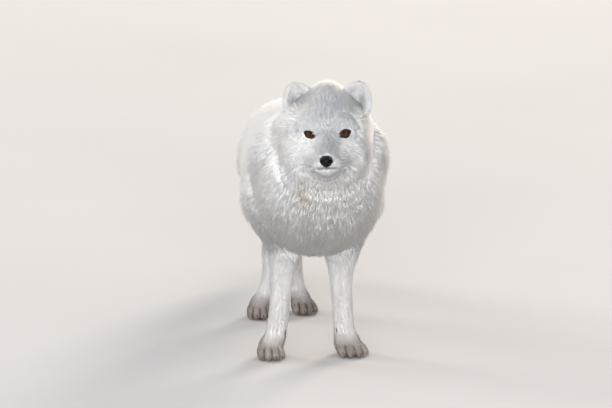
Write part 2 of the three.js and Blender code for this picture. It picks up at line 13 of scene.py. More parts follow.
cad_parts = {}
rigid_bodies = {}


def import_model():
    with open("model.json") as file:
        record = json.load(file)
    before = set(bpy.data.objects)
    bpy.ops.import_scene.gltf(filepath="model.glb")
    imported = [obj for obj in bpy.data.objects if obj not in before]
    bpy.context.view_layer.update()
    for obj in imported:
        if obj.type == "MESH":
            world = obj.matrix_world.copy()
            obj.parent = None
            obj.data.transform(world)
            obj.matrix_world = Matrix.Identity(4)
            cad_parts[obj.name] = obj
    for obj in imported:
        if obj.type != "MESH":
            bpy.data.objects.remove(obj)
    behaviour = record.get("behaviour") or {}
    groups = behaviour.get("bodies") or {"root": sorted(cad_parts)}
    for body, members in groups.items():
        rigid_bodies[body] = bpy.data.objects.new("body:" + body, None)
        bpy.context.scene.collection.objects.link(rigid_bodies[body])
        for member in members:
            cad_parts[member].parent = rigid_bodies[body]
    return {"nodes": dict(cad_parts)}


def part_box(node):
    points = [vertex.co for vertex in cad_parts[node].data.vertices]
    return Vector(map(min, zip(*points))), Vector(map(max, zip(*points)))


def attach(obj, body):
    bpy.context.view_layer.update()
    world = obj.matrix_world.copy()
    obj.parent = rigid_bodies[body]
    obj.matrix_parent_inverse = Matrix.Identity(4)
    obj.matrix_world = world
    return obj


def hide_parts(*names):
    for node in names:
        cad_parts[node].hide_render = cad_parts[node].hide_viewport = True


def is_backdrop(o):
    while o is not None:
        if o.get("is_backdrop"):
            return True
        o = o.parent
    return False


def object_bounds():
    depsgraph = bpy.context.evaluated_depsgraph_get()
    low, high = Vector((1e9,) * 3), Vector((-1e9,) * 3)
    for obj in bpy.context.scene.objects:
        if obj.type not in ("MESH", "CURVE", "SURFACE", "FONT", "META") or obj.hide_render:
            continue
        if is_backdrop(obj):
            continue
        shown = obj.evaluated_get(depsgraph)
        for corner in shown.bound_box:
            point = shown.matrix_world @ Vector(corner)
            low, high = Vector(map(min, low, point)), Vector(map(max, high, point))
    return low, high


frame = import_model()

bl_info = {
    "name": "Arctic fox",
    "version": (1, 0, 0),
    "blender": (4, 5, 0),
    "location": "3D View > Sidebar > Fox",
    "description": "Dresses the fox's solids with a skin, a winter coat, eyes and a nose",
    "category": "Object",
}

CAD_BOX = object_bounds()
MM = 0.001

# ------------------------------------------------------------------ the drafting frame, in millimetres
# The drafting origin lies on the floor, midway between the two forefeet. The fox looks along -Y.
EYE_HEIGHT = 309
EYE_SPACING = 43
EYE_BACK = 5  # the eyeballs' centres lie this far behind the head's own origin
MUZZLE_LENGTH = 66
HEAD_AT = Vector((1, -105, EYE_HEIGHT))
HEAD_TURN = Euler((math.radians(-4), math.radians(-1.6), math.radians(-12)), "ZXY")
SIDES = {"right": -1, "left": 1}


def head_matrix():
    """From the head's own frame to the drafting frame: the head is tilted, then lifted, then turned."""
    turn = Matrix.Rotation(HEAD_TURN.z, 3, "Z")
    lift = Matrix.Rotation(HEAD_TURN.x, 3, "X")
    tilt = Matrix.Rotation(HEAD_TURN.y, 3, "Y")
    return Matrix.Translation(HEAD_AT) @ (turn @ lift @ tilt).to_4x4()


HEAD = head_matrix()
HEAD_ROWS = np.array(HEAD.to_3x3())


def middle_of(node):
    low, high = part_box(node)
    return (low + high) / 2


# The eyes fix where the drafting origin lies in the frame.
ORIGIN = (middle_of("eye_left") + middle_of("eye_right")) / 2 / MM - HEAD @ Vector((0, EYE_BACK, 0))
ORIGIN_ROW = np.array(ORIGIN)


def to_head(p):
    return (p - np.array(HEAD_AT)) @ HEAD_ROWS


def from_head(q):
    return q @ HEAD_ROWS.T + np.array(HEAD_AT)


# ------------------------------------------------------------------ masses
# A mass takes points and the share of the coat's depth to leave off: 0 gives the outline of the coat.
def soft_min(a, b, k):
    t = np.clip(0.5 + 0.5 * (b - a) / k, 0, 1)
    return b + (a - b) * t - k * t * (1 - t)


def join(k, *masses):
    return lambda p, bare: reduce(lambda a, b: soft_min(a, b, k), (mass(p, bare) for mass in masses))


def fuse(*masses):
    return lambda p, bare: np.minimum.reduce([mass(p, bare) for mass in masses])


def egg(centre, radii, coat, lean=0):
    """An egg has a centre, three radii, the coat's depth, and a lean in degrees outwards."""
    c, s = math.cos(math.radians(lean)), math.sin(math.radians(lean))

    def mass(p, bare):
        d = p - np.array(centre, float)
        if lean:
            d = np.stack([c * d[:, 0] - s * d[:, 2], d[:, 1], s * d[:, 0] + c * d[:, 2]], 1)
        r = np.array(radii, float) - bare * np.array(coat, float)
        near = np.sqrt(((d / r) ** 2).sum(1))
        slope = np.sqrt(((d / r ** 2) ** 2).sum(1))
        return near * (near - 1) / np.maximum(slope, 1e-9)
    return mass


def through(stations, steps):
    """Points on a smooth curve through the stations, with their other values carried along."""
    st = np.array(stations, float)
    out = []
    for i in range(len(st) - 1):
        a, b, c, d = st[max(i - 1, 0)], st[i], st[i + 1], st[min(i + 2, len(st) - 1)]
        for k in range(steps):
            t = k / steps
            bend = (2 * a - 5 * b + 4 * c - d) * t * t + (3 * b - a - 3 * c + d) * t ** 3
            out.append(0.5 * (2 * b + (c - a) * t + bend))
    out.append(st[-1])
    return np.array(out)


FAR = 32  # a mass farther off than this has no part in the surface: the distance to its box stands in for it


def near_box(low, high, mass):
    """A mass that is worked out only for the points near its own box."""
    def bounded(p, bare):
        value = np.linalg.norm(np.maximum(np.maximum(low - p, p - high), 0), axis=1)
        near = value < FAR
        value[near] = mass(p[near], bare)
        return value
    return bounded


def spine(stations, steps=4):
    """A spine's stations are x, y, z, half height, half width over half height, and the coat's depth."""
    points = through(stations, steps)
    reach = (points[:, 3] * np.maximum(points[:, 4], 1)).max()

    def mass(p, bare):
        nearest = np.full(len(p), np.inf)
        for a, b in zip(points[:-1], points[1:]):
            run = b[:3] - a[:3]
            t = np.clip((p - a[:3]) @ run / (run @ run), 0, 1)
            half, wide, coat = (a[n] + (b[n] - a[n]) * t for n in (3, 4, 5))
            v = p - a[:3] - t[:, None] * run
            high = half - bare * coat
            flat = (half * wide - bare * coat) / high
            nearest = np.minimum(nearest, np.sqrt((v[:, 0] / flat) ** 2 + v[:, 1] ** 2 + v[:, 2] ** 2) - high)
        return nearest
    return near_box(points[:, :3].min(0) - reach, points[:, :3].max(0) + reach, mass)


def placed(matrix, mass):
    rows = np.array(matrix.to_3x3())
    at = np.array(matrix.translation)
    return lambda p, bare: mass((p - at) @ rows, bare)


def both_sides(make):
    return [make(s) for s in SIDES.values()]


TRUNK = spine([
    (4, -28, 226, 75, 1.12, 28), (3, 35, 219, 79, 1.11, 30), (3, 110, 223, 73, 1.03, 30),
    (7, 175, 230, 69, 0.95, 28), (10, 230, 234, 61, 0.94, 26), (10, 262, 234, 48, 0.95, 22),
])
NECK = join(
    25,
    spine([(4, 10, 252, 62, 1.15, 28), (5, -28, 282, 57, 1.22, 26), (5, -44, 302, 50, 1.25, 20)]),
    egg((6, -20, 263), (90, 50, 62), 28),
)
THROAT = join(
    25,
    spine([(4, -30, 205, 60, 1.25, 28), (3, -62, 238, 56, 1.2, 26), (2, -90, 268, 45, 1.16, 18)]),
    egg((4, 0, 178), (54, 56, 40), 24),
)
TAIL_STATIONS = [
    (10, 262, 240, 30, 1, 18), (11, 300, 236, 29, 1, 18), (15, 345, 210, 36, 1, 26),
    (22, 395, 168, 43, 1, 33),
    (31, 445, 124, 45, 1, 35), (39, 492, 90, 36, 1, 27), (45, 527, 71, 21, 1, 14),
    (47, 540, 65, 12, 1, 7),
]
TAIL = spine(TAIL_STATIONS)
LEGS = {
    "fore_right": dict(
        stations=[(-46, 6, 205, 42, 1, 26), (-33, 14, 150, 26, 0.95, 14), (-37, 9, 105, 15.5, 0.98, 5),
                  (-42, 5, 62, 13.8, 1, 4), (-46, 3, 34, 13.5, 1.03, 3), (-50, 0, 22, 13, 1.1, 2.5)],
        foot=(-55.5, -4), half_width=17.5, turn=-3),
    "fore_left": dict(
        stations=[(52, 6, 205, 42, 1, 26), (44, 14, 150, 27, 0.95, 14), (40, 9, 105, 15.5, 1.03, 5),
                  (41, 5, 70, 13.6, 1.04, 4), (42.5, 3, 40, 13.4, 1.05, 3), (45, 0, 22, 13.5, 1.15, 2.5)],
        foot=(49, -4), half_width=21, turn=10),
    "hind_right": dict(
        stations=[(-11, 230, 214, 47, 1, 26), (-12, 220, 166, 32, 0.9, 17), (-5, 262, 118, 19, 0.75, 7),
                  (-5, 290, 88, 13.5, 0.92, 4), (-8, 277, 50, 12, 0.95, 3.5), (-19, 262, 24, 12, 1.1, 2.5)],
        foot=(-27, 254), half_width=16, turn=-6),
    "hind_left": dict(
        stations=[(32, 245, 214, 46, 1, 26), (35, 238, 166, 33, 0.92, 17), (33, 278, 118, 19, 0.82, 7),
                  (30, 306, 88, 13.5, 0.92, 4), (28.5, 293, 50, 12, 0.93, 3.5), (31, 280, 24, 12, 1.1, 2.5)],
        foot=(36, 273), half_width=16.5, turn=5),
}
# Each toe has how far aside it stands, as a share of the foot's half width, and how far ahead.
TOES = [(-0.68, 0), (-0.24, 5), (0.24, 5), (0.68, 0)]
TOE_COAT = 1.6


def foot_matrix(leg):
    return Matrix.Translation((*leg["foot"], 0)) @ Matrix.Rotation(math.radians(leg["turn"]), 4, "Z")


def toe(w, side, ahead):
    return spine([(side * w * 0.8, 2 - ahead, 11, 7.5, 0.95, TOE_COAT),
                  (side * w * 0.97, -8 - ahead, 9, 7.2, 0.92, TOE_COAT),
                  (side * w * 1.08, -15 - ahead, 6, 5.4, 1, TOE_COAT)], 2)


def foot(leg):
    w = leg["half_width"]
    pad = egg((0, 6, 13), (w * 0.82, 20, 15), TOE_COAT)
    return placed(foot_matrix(leg), join(3, pad, *(toe(w, *each) for each in TOES)))


SHANKS = fuse(*(join(5, spine(leg["stations"]), foot(leg)) for leg in LEGS.values()))

# The head is drafted about the point midway between the eyes, looking along -Y.
SKULL = join(
    16,
    egg((0, 45, 10), (39, 42, 53), 12),
    *both_sides(lambda s: egg((s * 36, 50, 6), (18, 24, 26), 10)),
    egg((0, 23, 3), (35, 21, 25), 6),
    *both_sides(lambda s: egg((s * 30, 32, -15), (24, 29, 29), 12)),
    *both_sides(lambda s: egg((s * 26, 17, -27), (20, 23, 18), 9)),
)
BROWS = both_sides(lambda s: egg((s * 18, 12, 4), (17, 12, 16), 4))
BRIDGE = spine([(0, 18, -11, 20, 1, 4), (0, -12, -18, 15.5, 0.95, 3),
                (0, 15 - MUZZLE_LENGTH, -26.5, 10.5, 1, 1.8)])
LIPS = both_sides(lambda s: spine([(s * 15, 10, -31, 16, 1, 5), (s * 10.5, -20, -34, 12.5, 1, 3),
                                   (s * 8.5, 22 - MUZZLE_LENGTH, -34.5, 10, 1, 2)]))
JAW = spine([(0, 8, -42, 17, 1.2, 5), (0, -20, -43.5, 11, 1.2, 3),
             (0, 24 - MUZZLE_LENGTH, -42, 7.2, 1.35, 2)])
FACE = join(7, join(17, SKULL, BRIDGE), *BROWS, *LIPS, JAW)
OUTLINE = join(18, TRUNK, NECK, THROAT, SHANKS, TAIL, placed(HEAD, FACE))
NOSE_TIP = 8 - MUZZLE_LENGTH
NOSE = join(2, egg((0, NOSE_TIP, -27.7), (8.25, 8, 6.2), 0),
            egg((0, NOSE_TIP + 0.5, -31.2), (5.1, 7, 4.9), 0))

EYE_HALF_WIDTH = 7.2
EYE_HALF_HEIGHT = 3.3
EYE_SLANT = 19  # degrees, outer corners up
LID_RIM = 2.0  # width of the lids' bare dark rims
MOUTH_FRONT = -38.0  # the parting of the lips, in the head's own frame
MOUTH_DEPTH = 2.4
MOUTH_WIDTH = 1.3
PHILTRUM_DEPTH = 1.2
PHILTRUM_WIDTH = 0.9


def eye_plane(q, s):
    """Distances across and up in one eye's slanted plane, and the distance ahead of the ball's centre."""
    a = math.radians(EYE_SLANT)
    x = (q[:, 0] - s * EYE_SPACING / 2) * s
    z = q[:, 2]
    return x * math.cos(a) + z * math.sin(a), z * math.cos(a) - x * math.sin(a), EYE_BACK - q[:, 1]


def from_eye_plane(across, up, ahead, s):
    a = math.radians(EYE_SLANT)
    x = across * math.cos(a) - up * math.sin(a)
    z = across * math.sin(a) + up * math.cos(a)
    return np.stack([s * (x + EYE_SPACING / 2), EYE_BACK - ahead, z], -1)


def mouth_line(q):
    """Height above the parting of the lips, which dips a little and then rises to the mouth's corners."""
    back = np.clip((q[:, 1] + 52) / 40, 0, 1)
    return q[:, 2] - (MOUTH_FRONT + back - 3.5 * back * (1 - back))


COMBED = 0.5  # the skin lies inside the outline by this share of the coat's full depth
SKIN_FLOOR = 1.2  # the skin stays this far above the floor


def skin_mass(p):
    """The skin under the coat, with the hollows of the eyes and the parting of the lips."""
    d = OUTLINE(p, COMBED)
    q = to_head(p)
    near = (np.abs(q) < 75).all(1)
    if near.any():
        f, part = q[near], d[near]
        for s in SIDES.values():
            across, up, ahead = eye_plane(f, s)
            hollow = np.sqrt((across / (EYE_HALF_WIDTH + 1.2)) ** 2 + (up / (EYE_HALF_HEIGHT + 1.2)) ** 2
                             + ((ahead - 9) / 8) ** 2)
            part = np.maximum(part, (1 - hollow) * 5)
        along = np.clip((-6 - f[:, 1]) / 12, 0, 1)
        part = part + MOUTH_DEPTH * along * fading(mouth_line(f), MOUTH_WIDTH)
        philtrum = fading(f[:, 0], PHILTRUM_WIDTH) * np.clip((-f[:, 1] - 50) / 4, 0, 1) * (f[:, 2] < -33)
        d[near] = part + PHILTRUM_DEPTH * philtrum
    return np.maximum(d, SKIN_FLOOR - p[:, 2])


# ------------------------------------------------------------------ from masses to meshes
# A surface takes points alone, and gives their distances from it, below 0 inside.
def slope_of(surface, p, apart=0.4):
    value = surface(p)
    g = np.stack([surface(p + apart * axis) - value for axis in np.eye(3)], 1) / apart
    return value, g


def settle(surface, p, rounds, reach):
    """Moves points onto a surface, and gives its outward normals there."""
    for _ in range(rounds):
        value, g = slope_of(surface, p)
        move = -g * (value / np.maximum((g ** 2).sum(1), 0.2))[:, None]
        far = np.linalg.norm(move, axis=1)
        p = p + move * np.minimum(1, reach / np.maximum(far, 1e-9))[:, None]
    _, g = slope_of(surface, p)
    return p, g / np.maximum(np.linalg.norm(g, axis=1), 1e-9)[:, None]


def sampled(surface, low, size, cell, block=4):
    """Distances from a surface on a grid, worked out in full only in blocks near it."""
    blocks = np.ceil(size / block).astype(int)
    middles = low + (np.stack(np.meshgrid(*map(np.arange, blocks), indexing="ij"), -1) + 0.5) * block * cell
    rough = surface(middles.reshape(-1, 3)).reshape(blocks)
    values = np.sign(rough).repeat(block, 0).repeat(block, 1).repeat(block, 2) * 9.0
    near = np.argwhere(np.abs(rough) < block * cell * 1.5)
    offsets = np.stack(np.meshgrid(*[np.arange(block)] * 3, indexing="ij"), -1).reshape(-1, 3)
    at = (near[:, None] * block + offsets).reshape(-1, 3)
    for start in range(0, len(at), 200000):
        some = at[start:start + 200000]
        values[tuple(some.T)] = surface(low + some * cell)
    return values[:size[0], :size[1], :size[2]]


def nets(surface, low, high, cell):
    """Vertices and outward quads of a surface: one vertex in each cell that the surface crosses."""
    low = np.array(low, float)
    size = np.ceil((np.array(high) - low) / cell).astype(int) + 1
    values = sampled(surface, low, size, cell)
    inside = values < 0
    corners = [(i, j, k) for i in (0, 1) for j in (0, 1) for k in (0, 1)]
    n = size - 1
    count = sum(inside[i:n[0] + i, j:n[1] + j, k:n[2] + k].astype(int) for i, j, k in corners)
    active = (count > 0) & (count < 8)
    index = np.full(active.shape, -1)
    index[active] = np.arange(active.sum())
    cells = np.argwhere(active)
    total, crossings = np.zeros((len(cells), 3)), np.zeros(len(cells))
    for a in corners:
        for axis in range(3):
            if a[axis]:
                continue
            b = tuple(v + (m == axis) for m, v in enumerate(a))
            va, vb = (values[tuple((cells + c).T)] for c in (a, b))
            cut = (va < 0) != (vb < 0)
            t = np.where(cut, va / np.where(cut, va - vb, 1), 0)
            point = np.array(a, float) + t[:, None] * (np.array(b) - np.array(a))
            total += np.where(cut[:, None], point, 0)
            crossings += cut
    points = low + (cells + total / crossings[:, None]) * cell
    quads = []
    for axis in range(3):
        e, f = np.eye(3, dtype=int)[(axis + 1) % 3], np.eye(3, dtype=int)[(axis + 2) % 3]
        here = tuple(slice(0, size[m] - (m == axis)) for m in range(3))
        there = tuple(slice(int(m == axis), size[m]) for m in range(3))
        edges = np.argwhere(inside[here] != inside[there])
        around = np.stack([index[tuple((edges - u).T)] for u in (e + f, f, 0 * e, e)], 1)
        flip = ~inside[tuple(edges.T)]
        around[flip] = around[flip][:, ::-1]
        quads.append(around)
    return points, np.concatenate(quads)


def mesh_object(name, points, faces):
    """A mesh in the frame, in metres, from drafting points in millimetres."""
    mesh = bpy.data.meshes.new(name)
    places = ((np.asarray(points) + ORIGIN_ROW) * MM).tolist()
    mesh.from_pydata(places, [], [list(map(int, face)) for face in faces])
    mesh.validate()
    mesh.update()
    mesh.shade_smooth()
    made = bpy.data.objects.new(name, mesh)
    bpy.context.scene.collection.objects.link(made)
    return made


def set_values(mesh, name, values):
    """Keeps one number or three for each vertex as an attribute."""
    kind = "FLOAT" if values.ndim == 1 else "FLOAT_VECTOR"
    attribute = mesh.attributes.new(name, kind, "POINT")
    attribute.data.foreach_set("value" if values.ndim == 1 else "vector", values.astype(np.float32).ravel())


def finished(made, slot, *nodes):
    """Hangs a piece on the root body and hides the solids it stands for. The slot is not used."""
    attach(made, "root")
    if nodes:
        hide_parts(*nodes)
    return made


# ------------------------------------------------------------------ node trees
class Wire:
    """A node's output that takes part in expressions."""

    def __init__(self, tree, socket=None):
        self.tree = tree
        self.socket = socket

    def put(self, kind, settings=None, links=None, output=0):
        """Adds a node: its settings come first, then the values or wires of its sockets."""
        node = self.tree.nodes.new(kind)
        for name, value in (settings or {}).items():
            setattr(node, name, value)
        for name, value in (links or {}).items():
            if isinstance(name, int):
                socket = node.inputs[name]
            else:
                socket = next(s for s in node.inputs if s.name == name and s.enabled)
            if isinstance(value, Wire):
                self.tree.links.new(value.socket, socket)
            else:
                socket.default_value = value
        outputs = [s for s in node.outputs if s.enabled]
        if isinstance(output, str):
            return Wire(self.tree, next(s for s in outputs if s.name == output))
        return Wire(self.tree, outputs[output] if outputs else None)

    def math(self, operation, *values):
        return self.put("ShaderNodeMath", {"operation": operation}, dict(enumerate(values)))

    def clamped(self):
        return self.put("ShaderNodeClamp", links={"Value": self})

    def power(self, n):
        return self.math("POWER", self, n)

    def root(self):
        return self.math("SQRT", self)

    def vector(self, operation, *values):
        return self.put("ShaderNodeVectorMath", {"operation": operation}, dict(enumerate(values)))

    def scaled(self, factor):
        """This vector times a number or a wire."""
        return self.put("ShaderNodeVectorMath", {"operation": "SCALE"}, {0: self, "Scale": factor})

    def split(self):
        """The three parts of this vector."""
        parts = self.put("ShaderNodeSeparateXYZ", links={0: self}).socket.node
        return [Wire(self.tree, socket) for socket in parts.outputs]

    def band(self, low, high):
        """0 below low, 1 above high, and a smooth rise between."""
        return self.put("ShaderNodeMapRange", {"interpolation_type": "SMOOTHSTEP"},
                        {"Value": self, "From Min": low, "From Max": high, "To Min": 0.0, "To Max": 1.0})

    def blend(self, a, b):
        """Colour a where this wire is 0 and colour b where it is 1."""
        rgba = [value if isinstance(value, Wire) else (*value, 1) for value in (a, b)]
        return self.put("ShaderNodeMix", {"data_type": "RGBA"}, {0: self, 6: rgba[0], 7: rgba[1]})

    def __add__(self, other):
        return self.math("ADD", self, other)

    def __radd__(self, other):
        return self.math("ADD", other, self)

    def __sub__(self, other):
        return self.math("SUBTRACT", self, other)

    def __rsub__(self, other):
        return self.math("SUBTRACT", other, self)

    def __mul__(self, other):
        return self.math("MULTIPLY", self, other)

    def __rmul__(self, other):
        return self.math("MULTIPLY", other, self)

    def __truediv__(self, other):
        return self.math("DIVIDE", self, other)


def new_material(name, **sockets):
    """A material with one Principled shader. Gives the material, the shader and a wire to start from."""
    material = bpy.data.materials.new(name)
    material.use_nodes = True
    shader = next(n for n in material.node_tree.nodes if n.type == "BSDF_PRINCIPLED")
    for socket, value in sockets.items():
        shader.inputs[socket.replace("_", " ")].default_value = value
    return material, shader, Wire(material.node_tree)


def feed(shader, name, wire):
    wire.tree.links.new(wire.socket, shader.inputs[name])


def noise(at, scale, detail, output="Fac"):
    return at.put("ShaderNodeTexNoise", links={"Vector": at, "Scale": scale, "Detail": detail}, output=output)


def object_noise(start, scale, detail=2.0, output="Fac"):
    at = start.put("ShaderNodeTexCoord", output="Object")
    return noise(at, scale, detail, output)


def attribute(start, name, output="Fac"):
    return start.put("ShaderNodeAttribute", {"attribute_name": name}, output=output)


def bump(start, height, strength, distance):
    return start.put("ShaderNodeBump", links={"Height": height, "Strength": strength, "Distance": distance})


# ------------------------------------------------------------------ sizes and colours to change
class FoxCoat(bpy.types.PropertyGroup):
    """The coat's fullness, lie and colours."""
    fullness: FloatProperty(name="Fullness", description="Share of the full number of tufts", default=1.0,
                            min=0.05, max=1.5, subtype="FACTOR")
    width: FloatProperty(name="Tuft width", description="Width of the tufts, as a share of the drafted width",
                         default=1.0, min=0.3, max=3.0, subtype="FACTOR")
    sway: FloatProperty(name="Sway", description="How far locks stray from the lie of the coat", default=0.42,
                        min=0.0, max=2.0)
    seed: IntProperty(name="Seed", description="Seed of the tufts' places", default=11, min=0)
    white: FloatVectorProperty(name="White", description="Main colour of the coat", subtype="COLOR",
                               default=(0.955, 0.955, 0.95))
    # Painted shade: the colour each tuft darkens to towards its root, standing in for the shadow deep in the
    # coat.
    painted_root_shade: FloatVectorProperty(name="Shade", description="Colour deep in the coat", subtype="COLOR",
                               default=(0.93, 0.93, 0.925))
    # Painted shade: the cool grey of the shaded face, and partly the grey fur inside the ears.
    grey_and_shade: FloatVectorProperty(name="Grey", description="Cool grey of the face and the ears", subtype="COLOR",
                              default=(0.42, 0.47, 0.53))
    tan: FloatVectorProperty(name="Tan", description="Stain of the paws", subtype="COLOR",
                             default=(0.22, 0.155, 0.12))
    # Also used as painted warm light: a faint warm tint on the side of the chest that the warm back light
    # falls on.
    ochre_and_warm_light: FloatVectorProperty(name="Ochre", description="Stain on the chest", subtype="COLOR",
                               default=(0.60, 0.44, 0.22))
    # Also the colour of the painted shade below the lips, between the toes and in the ears' cups.
    dark: FloatVectorProperty(name="Dark", description="Skin of the lids and lips and between the toes",
                              subtype="COLOR", default=(0.016, 0.011, 0.010))


class FoxHead(bpy.types.PropertyGroup):
    """The sizes and colours of the eyes, nose and whiskers."""
    iris: FloatVectorProperty(name="Iris", description="Colour of the iris", subtype="COLOR",
                              default=(0.066, 0.029, 0.010))
    iris_edge: FloatVectorProperty(name="Iris edge", description="Colour of the iris at its edge",
                                   subtype="COLOR", default=(0.022, 0.010, 0.005))
    iris_radius: FloatProperty(name="Iris radius", description="Radius of the iris", default=0.0064,
                               unit="LENGTH", min=0.002)
    pupil_radius: FloatProperty(name="Pupil radius", description="Half height of the pupil", default=0.0027,
                                unit="LENGTH", min=0.0005)
    nose: FloatVectorProperty(name="Nose", description="Colour of the nose leather", subtype="COLOR",
                              default=(0.004, 0.004, 0.0045))
    whisker_length: FloatProperty(name="Whisker length", description="Length of the longest whiskers",
                                  default=0.050, unit="LENGTH", min=0.0)
    horn: FloatVectorProperty(name="Horn", description="Colour of the claws", subtype="COLOR",
                              default=(0.060, 0.036, 0.026))


class FoxStage(bpy.types.PropertyGroup):
    """The floor, the light and the camera's place."""
    floor: FloatVectorProperty(name="Floor", description="Colour of the floor", subtype="COLOR",
                               default=(0.50, 0.49, 0.49))
    key_power: FloatProperty(name="Back light", description="Power of the warm light from behind",
                             default=1950.0, unit="POWER", min=0.0)
    fill_power: FloatProperty(name="Fill light", description="Power of the light from in front",
                              default=640.0, unit="POWER", min=0.0)
    azimuth: FloatProperty(name="Azimuth", description="Direction of the camera round the fox",
                           default=math.radians(-10), subtype="ANGLE")
    elevation: FloatProperty(name="Elevation", description="Height of the camera above the horizon",
                             default=math.radians(10.5), subtype="ANGLE")
    distance: FloatProperty(name="Distance", description="From the camera to the fox", default=6.75,
                            unit="LENGTH", min=0.5)


# ------------------------------------------------------------------ finishes
CREAM = (0.94, 0.925, 0.90)  # the white coat's warmer patches
LID_FUR = (0.75, 0.75, 0.75)
NOSE_SHEEN = (0.009, 0.0088, 0.0095)
HORN_PALE = (0.13, 0.085, 0.06)


def markings(start, coat):
    """The colours that skin and coat share: white, cool grey that is painted shade on the face and partly
    grey fur in the ears, ochre and tan stains, and a faint painted warm light on the chest.
    """
    ochre_and_warm_light, tan, grey_and_shade = attribute(start, "marks", "Vector").split()
    patchy = object_noise(start, 45.0, 3.0)
    broad = object_noise(start, 9.0, 2.0)
    white = (broad.band(0.35, 0.7) * 0.5).blend(tuple(coat.white), CREAM)
    at = start.put("ShaderNodeTexCoord", output="Object")
    streaks = noise(start.vector("MULTIPLY", at, (1.0, 1.0, 0.14)), 330.0, 2.0)
    # Painted shade: cool grey laid over the white where the face lies in shade; in the ears' cups partly
    # their grey fur.
    shade_greyed = (grey_and_shade * (streaks.band(0.3, 0.7) * 0.9 + 0.5)).clamped().blend(white, tuple(coat.grey_and_shade))
    tanned = (tan * (0.55 + 0.9 * patchy)).clamped().blend(shade_greyed, tuple(coat.tan))
    return (ochre_and_warm_light * (0.2 + 1.5 * patchy)).clamped().blend(tanned, tuple(coat.ochre_and_warm_light))


def skin_finish(coat):
    material, shader, start = new_material("fox_skin", Roughness=0.9, Specular_IOR_Level=0.2)
    dark = attribute(start, "dark")
    # The dark attribute holds dark bare skin and painted shade alike.
    color = dark.clamped().blend(markings(start, coat), tuple(coat.dark))
    strands = object_noise(start, 900.0, 3.0)
    feed(shader, "Base Color", color)
    feed(shader, "Roughness", 0.85 - 0.4 * dark.clamped())
    feed(shader, "Normal", bump(start, strands, 0.5, 0.0008))
    return material


SOFTNESS = 1.6  # how strongly a tuft is shaded as the body under it, beside its own shape


def coat_finish(coat):
    material, shader, start = new_material(
        "fox_coat", Roughness=0.9, Specular_IOR_Level=0.12, Subsurface_Weight=0.4, Subsurface_Scale=0.005,
        Subsurface_Radius=(1.0, 0.97, 0.93))
    along = attribute(start, "along")
    tone = attribute(start, "tone")
    dark = attribute(start, "dark")
    color = markings(start, coat)
    # Painted shade: darker towards each tuft's root, as if shadowed by the tufts over it, plus a little
    # random tone from tuft to tuft.
    root_shade_and_tone = ((1 - along).power(1.6) * 0.45 + (tone - 0.5) * 0.16).clamped()
    shaded = root_shade_and_tone.blend(color, tuple(coat.painted_root_shade))
    # The tufts take the colour of dark bare skin, and of the painted shade at the lower lip, the toe creases
    # and the ears' cups.
    feed(shader, "Base Color", (dark * 0.85).clamped().blend(shaded, tuple(coat.dark)))
    feed(shader, "Roughness", 0.80 + 0.18 * tone)
    own = start.put("ShaderNodeNewGeometry", output="Normal")
    leaning = start.vector("ADD", own, attribute(start, "upright", "Vector").scaled(SOFTNESS))
    feed(shader, "Normal", start.vector("NORMALIZE", leaning))
    return material


# ------------------------------------------------------------------ skin
STAIN = ((-27, -105, 249), (-22, -102, 238))  # the ochre stain on the chest, and a faint trickle under it
TRICKLE = ((-22, -102, 238), (-5, -76, 180))
SMUDGE_FRONT = (21, -28, -24)  # an ochre smudge along each cheek, in the head's own frame
SMUDGE_BACK = (39, -12, -27.5)
# Painted warm light: a faint warm tint on the chest's side that faces the warm back light.
WARM_LIGHT_TINT_AT = (22, -110, 215)
WARM_LIGHT_TINT_REACH = (38, 60, 50)
# How strong each marking, painted warm light and painted shade is at its strongest, from 0 to 1.
OCHRE_AND_WARM_LIGHT = {"stain": 0.62, "trickle": 0.18, "smudge": 0.28, "chest": 0.12}
TAN = {"feet": 0.95, "legs": 0.22}
# Painted shade on the bridge, forehead, round the top of the nose, lower lip and face; in the ears partly
# grey fur, partly painted shade.
GREY_AND_SHADE = {"bridge": 0.8, "forehead": 0.55, "nose": 0.7, "lip": 0.6, "face": 0.42, "ears": 0.35}
ENDS = ("fore", "hind")
FLESH = ["head", "muzzle", "jaw", "neck", "chest", "loin", "rump", "tail_root", "tail_brush",
         "ear_left", "ear_right",
         *(f"{end}leg_{side}_{part}" for end in ENDS for side in SIDES for part in ("upper", "lower")),
         *(f"{end}foot_{side}" for end in ENDS for side in SIDES)]
EAR_AT = (35, 44, 32.5)
EAR_LEAN = 15
EAR_ROOM = 37  # half the box that an ear is made in
EAR_FOOT = 14  # the skull's own coat reaches this high round the ears, in the head's frame
EAR_COAT = 4.0


def ear_eggs(s):
    out, back, up = EAR_AT
    shell = join(6, egg((s * out, back, up), (18.6, 10.5, 26.5), 0, s * EAR_LEAN),
                 egg((s * (out - 7), back + 2, up + 10), (15, 8, 8.5), 0, -2 * s * EAR_LEAN))
    cup = join(6, egg((s * out, back - 13, up + 1), (16.6, 16.5, 24.5), 0, s * EAR_LEAN),
               egg((s * (out - 6), back - 10, up + 9), (13.5, 13.5, 7.3), 0, -2 * s * EAR_LEAN))
    return shell, cup


def ear_mass(s):
    shell, cup = ear_eggs(s)
    hollowed = placed(HEAD, lambda q, bare: np.maximum(shell(q, bare), -cup(q, bare)))
    return lambda p: hollowed(p, 0)


def bmesh_refined(points, faces, chosen):
    """Splits the chosen faces in four, with the neighbours fitted to them."""
    bm = bmesh.new()
    verts = [bm.verts.new(p) for p in points]
    for face in faces:
        bm.faces.new([verts[i] for i in face])
    bm.faces.ensure_lookup_table()
    edges = {edge for face in bm.faces if chosen(face.calc_center_median()) for edge in face.edges}
    bmesh.ops.subdivide_edges(bm, edges=list(edges), cuts=1, use_grid_fill=True)
    bm.verts.index_update()
    points = np.array([v.co for v in bm.verts])
    faces = [[v.index for v in face.verts] for face in bm.faces]
    bm.free()
    return points, faces


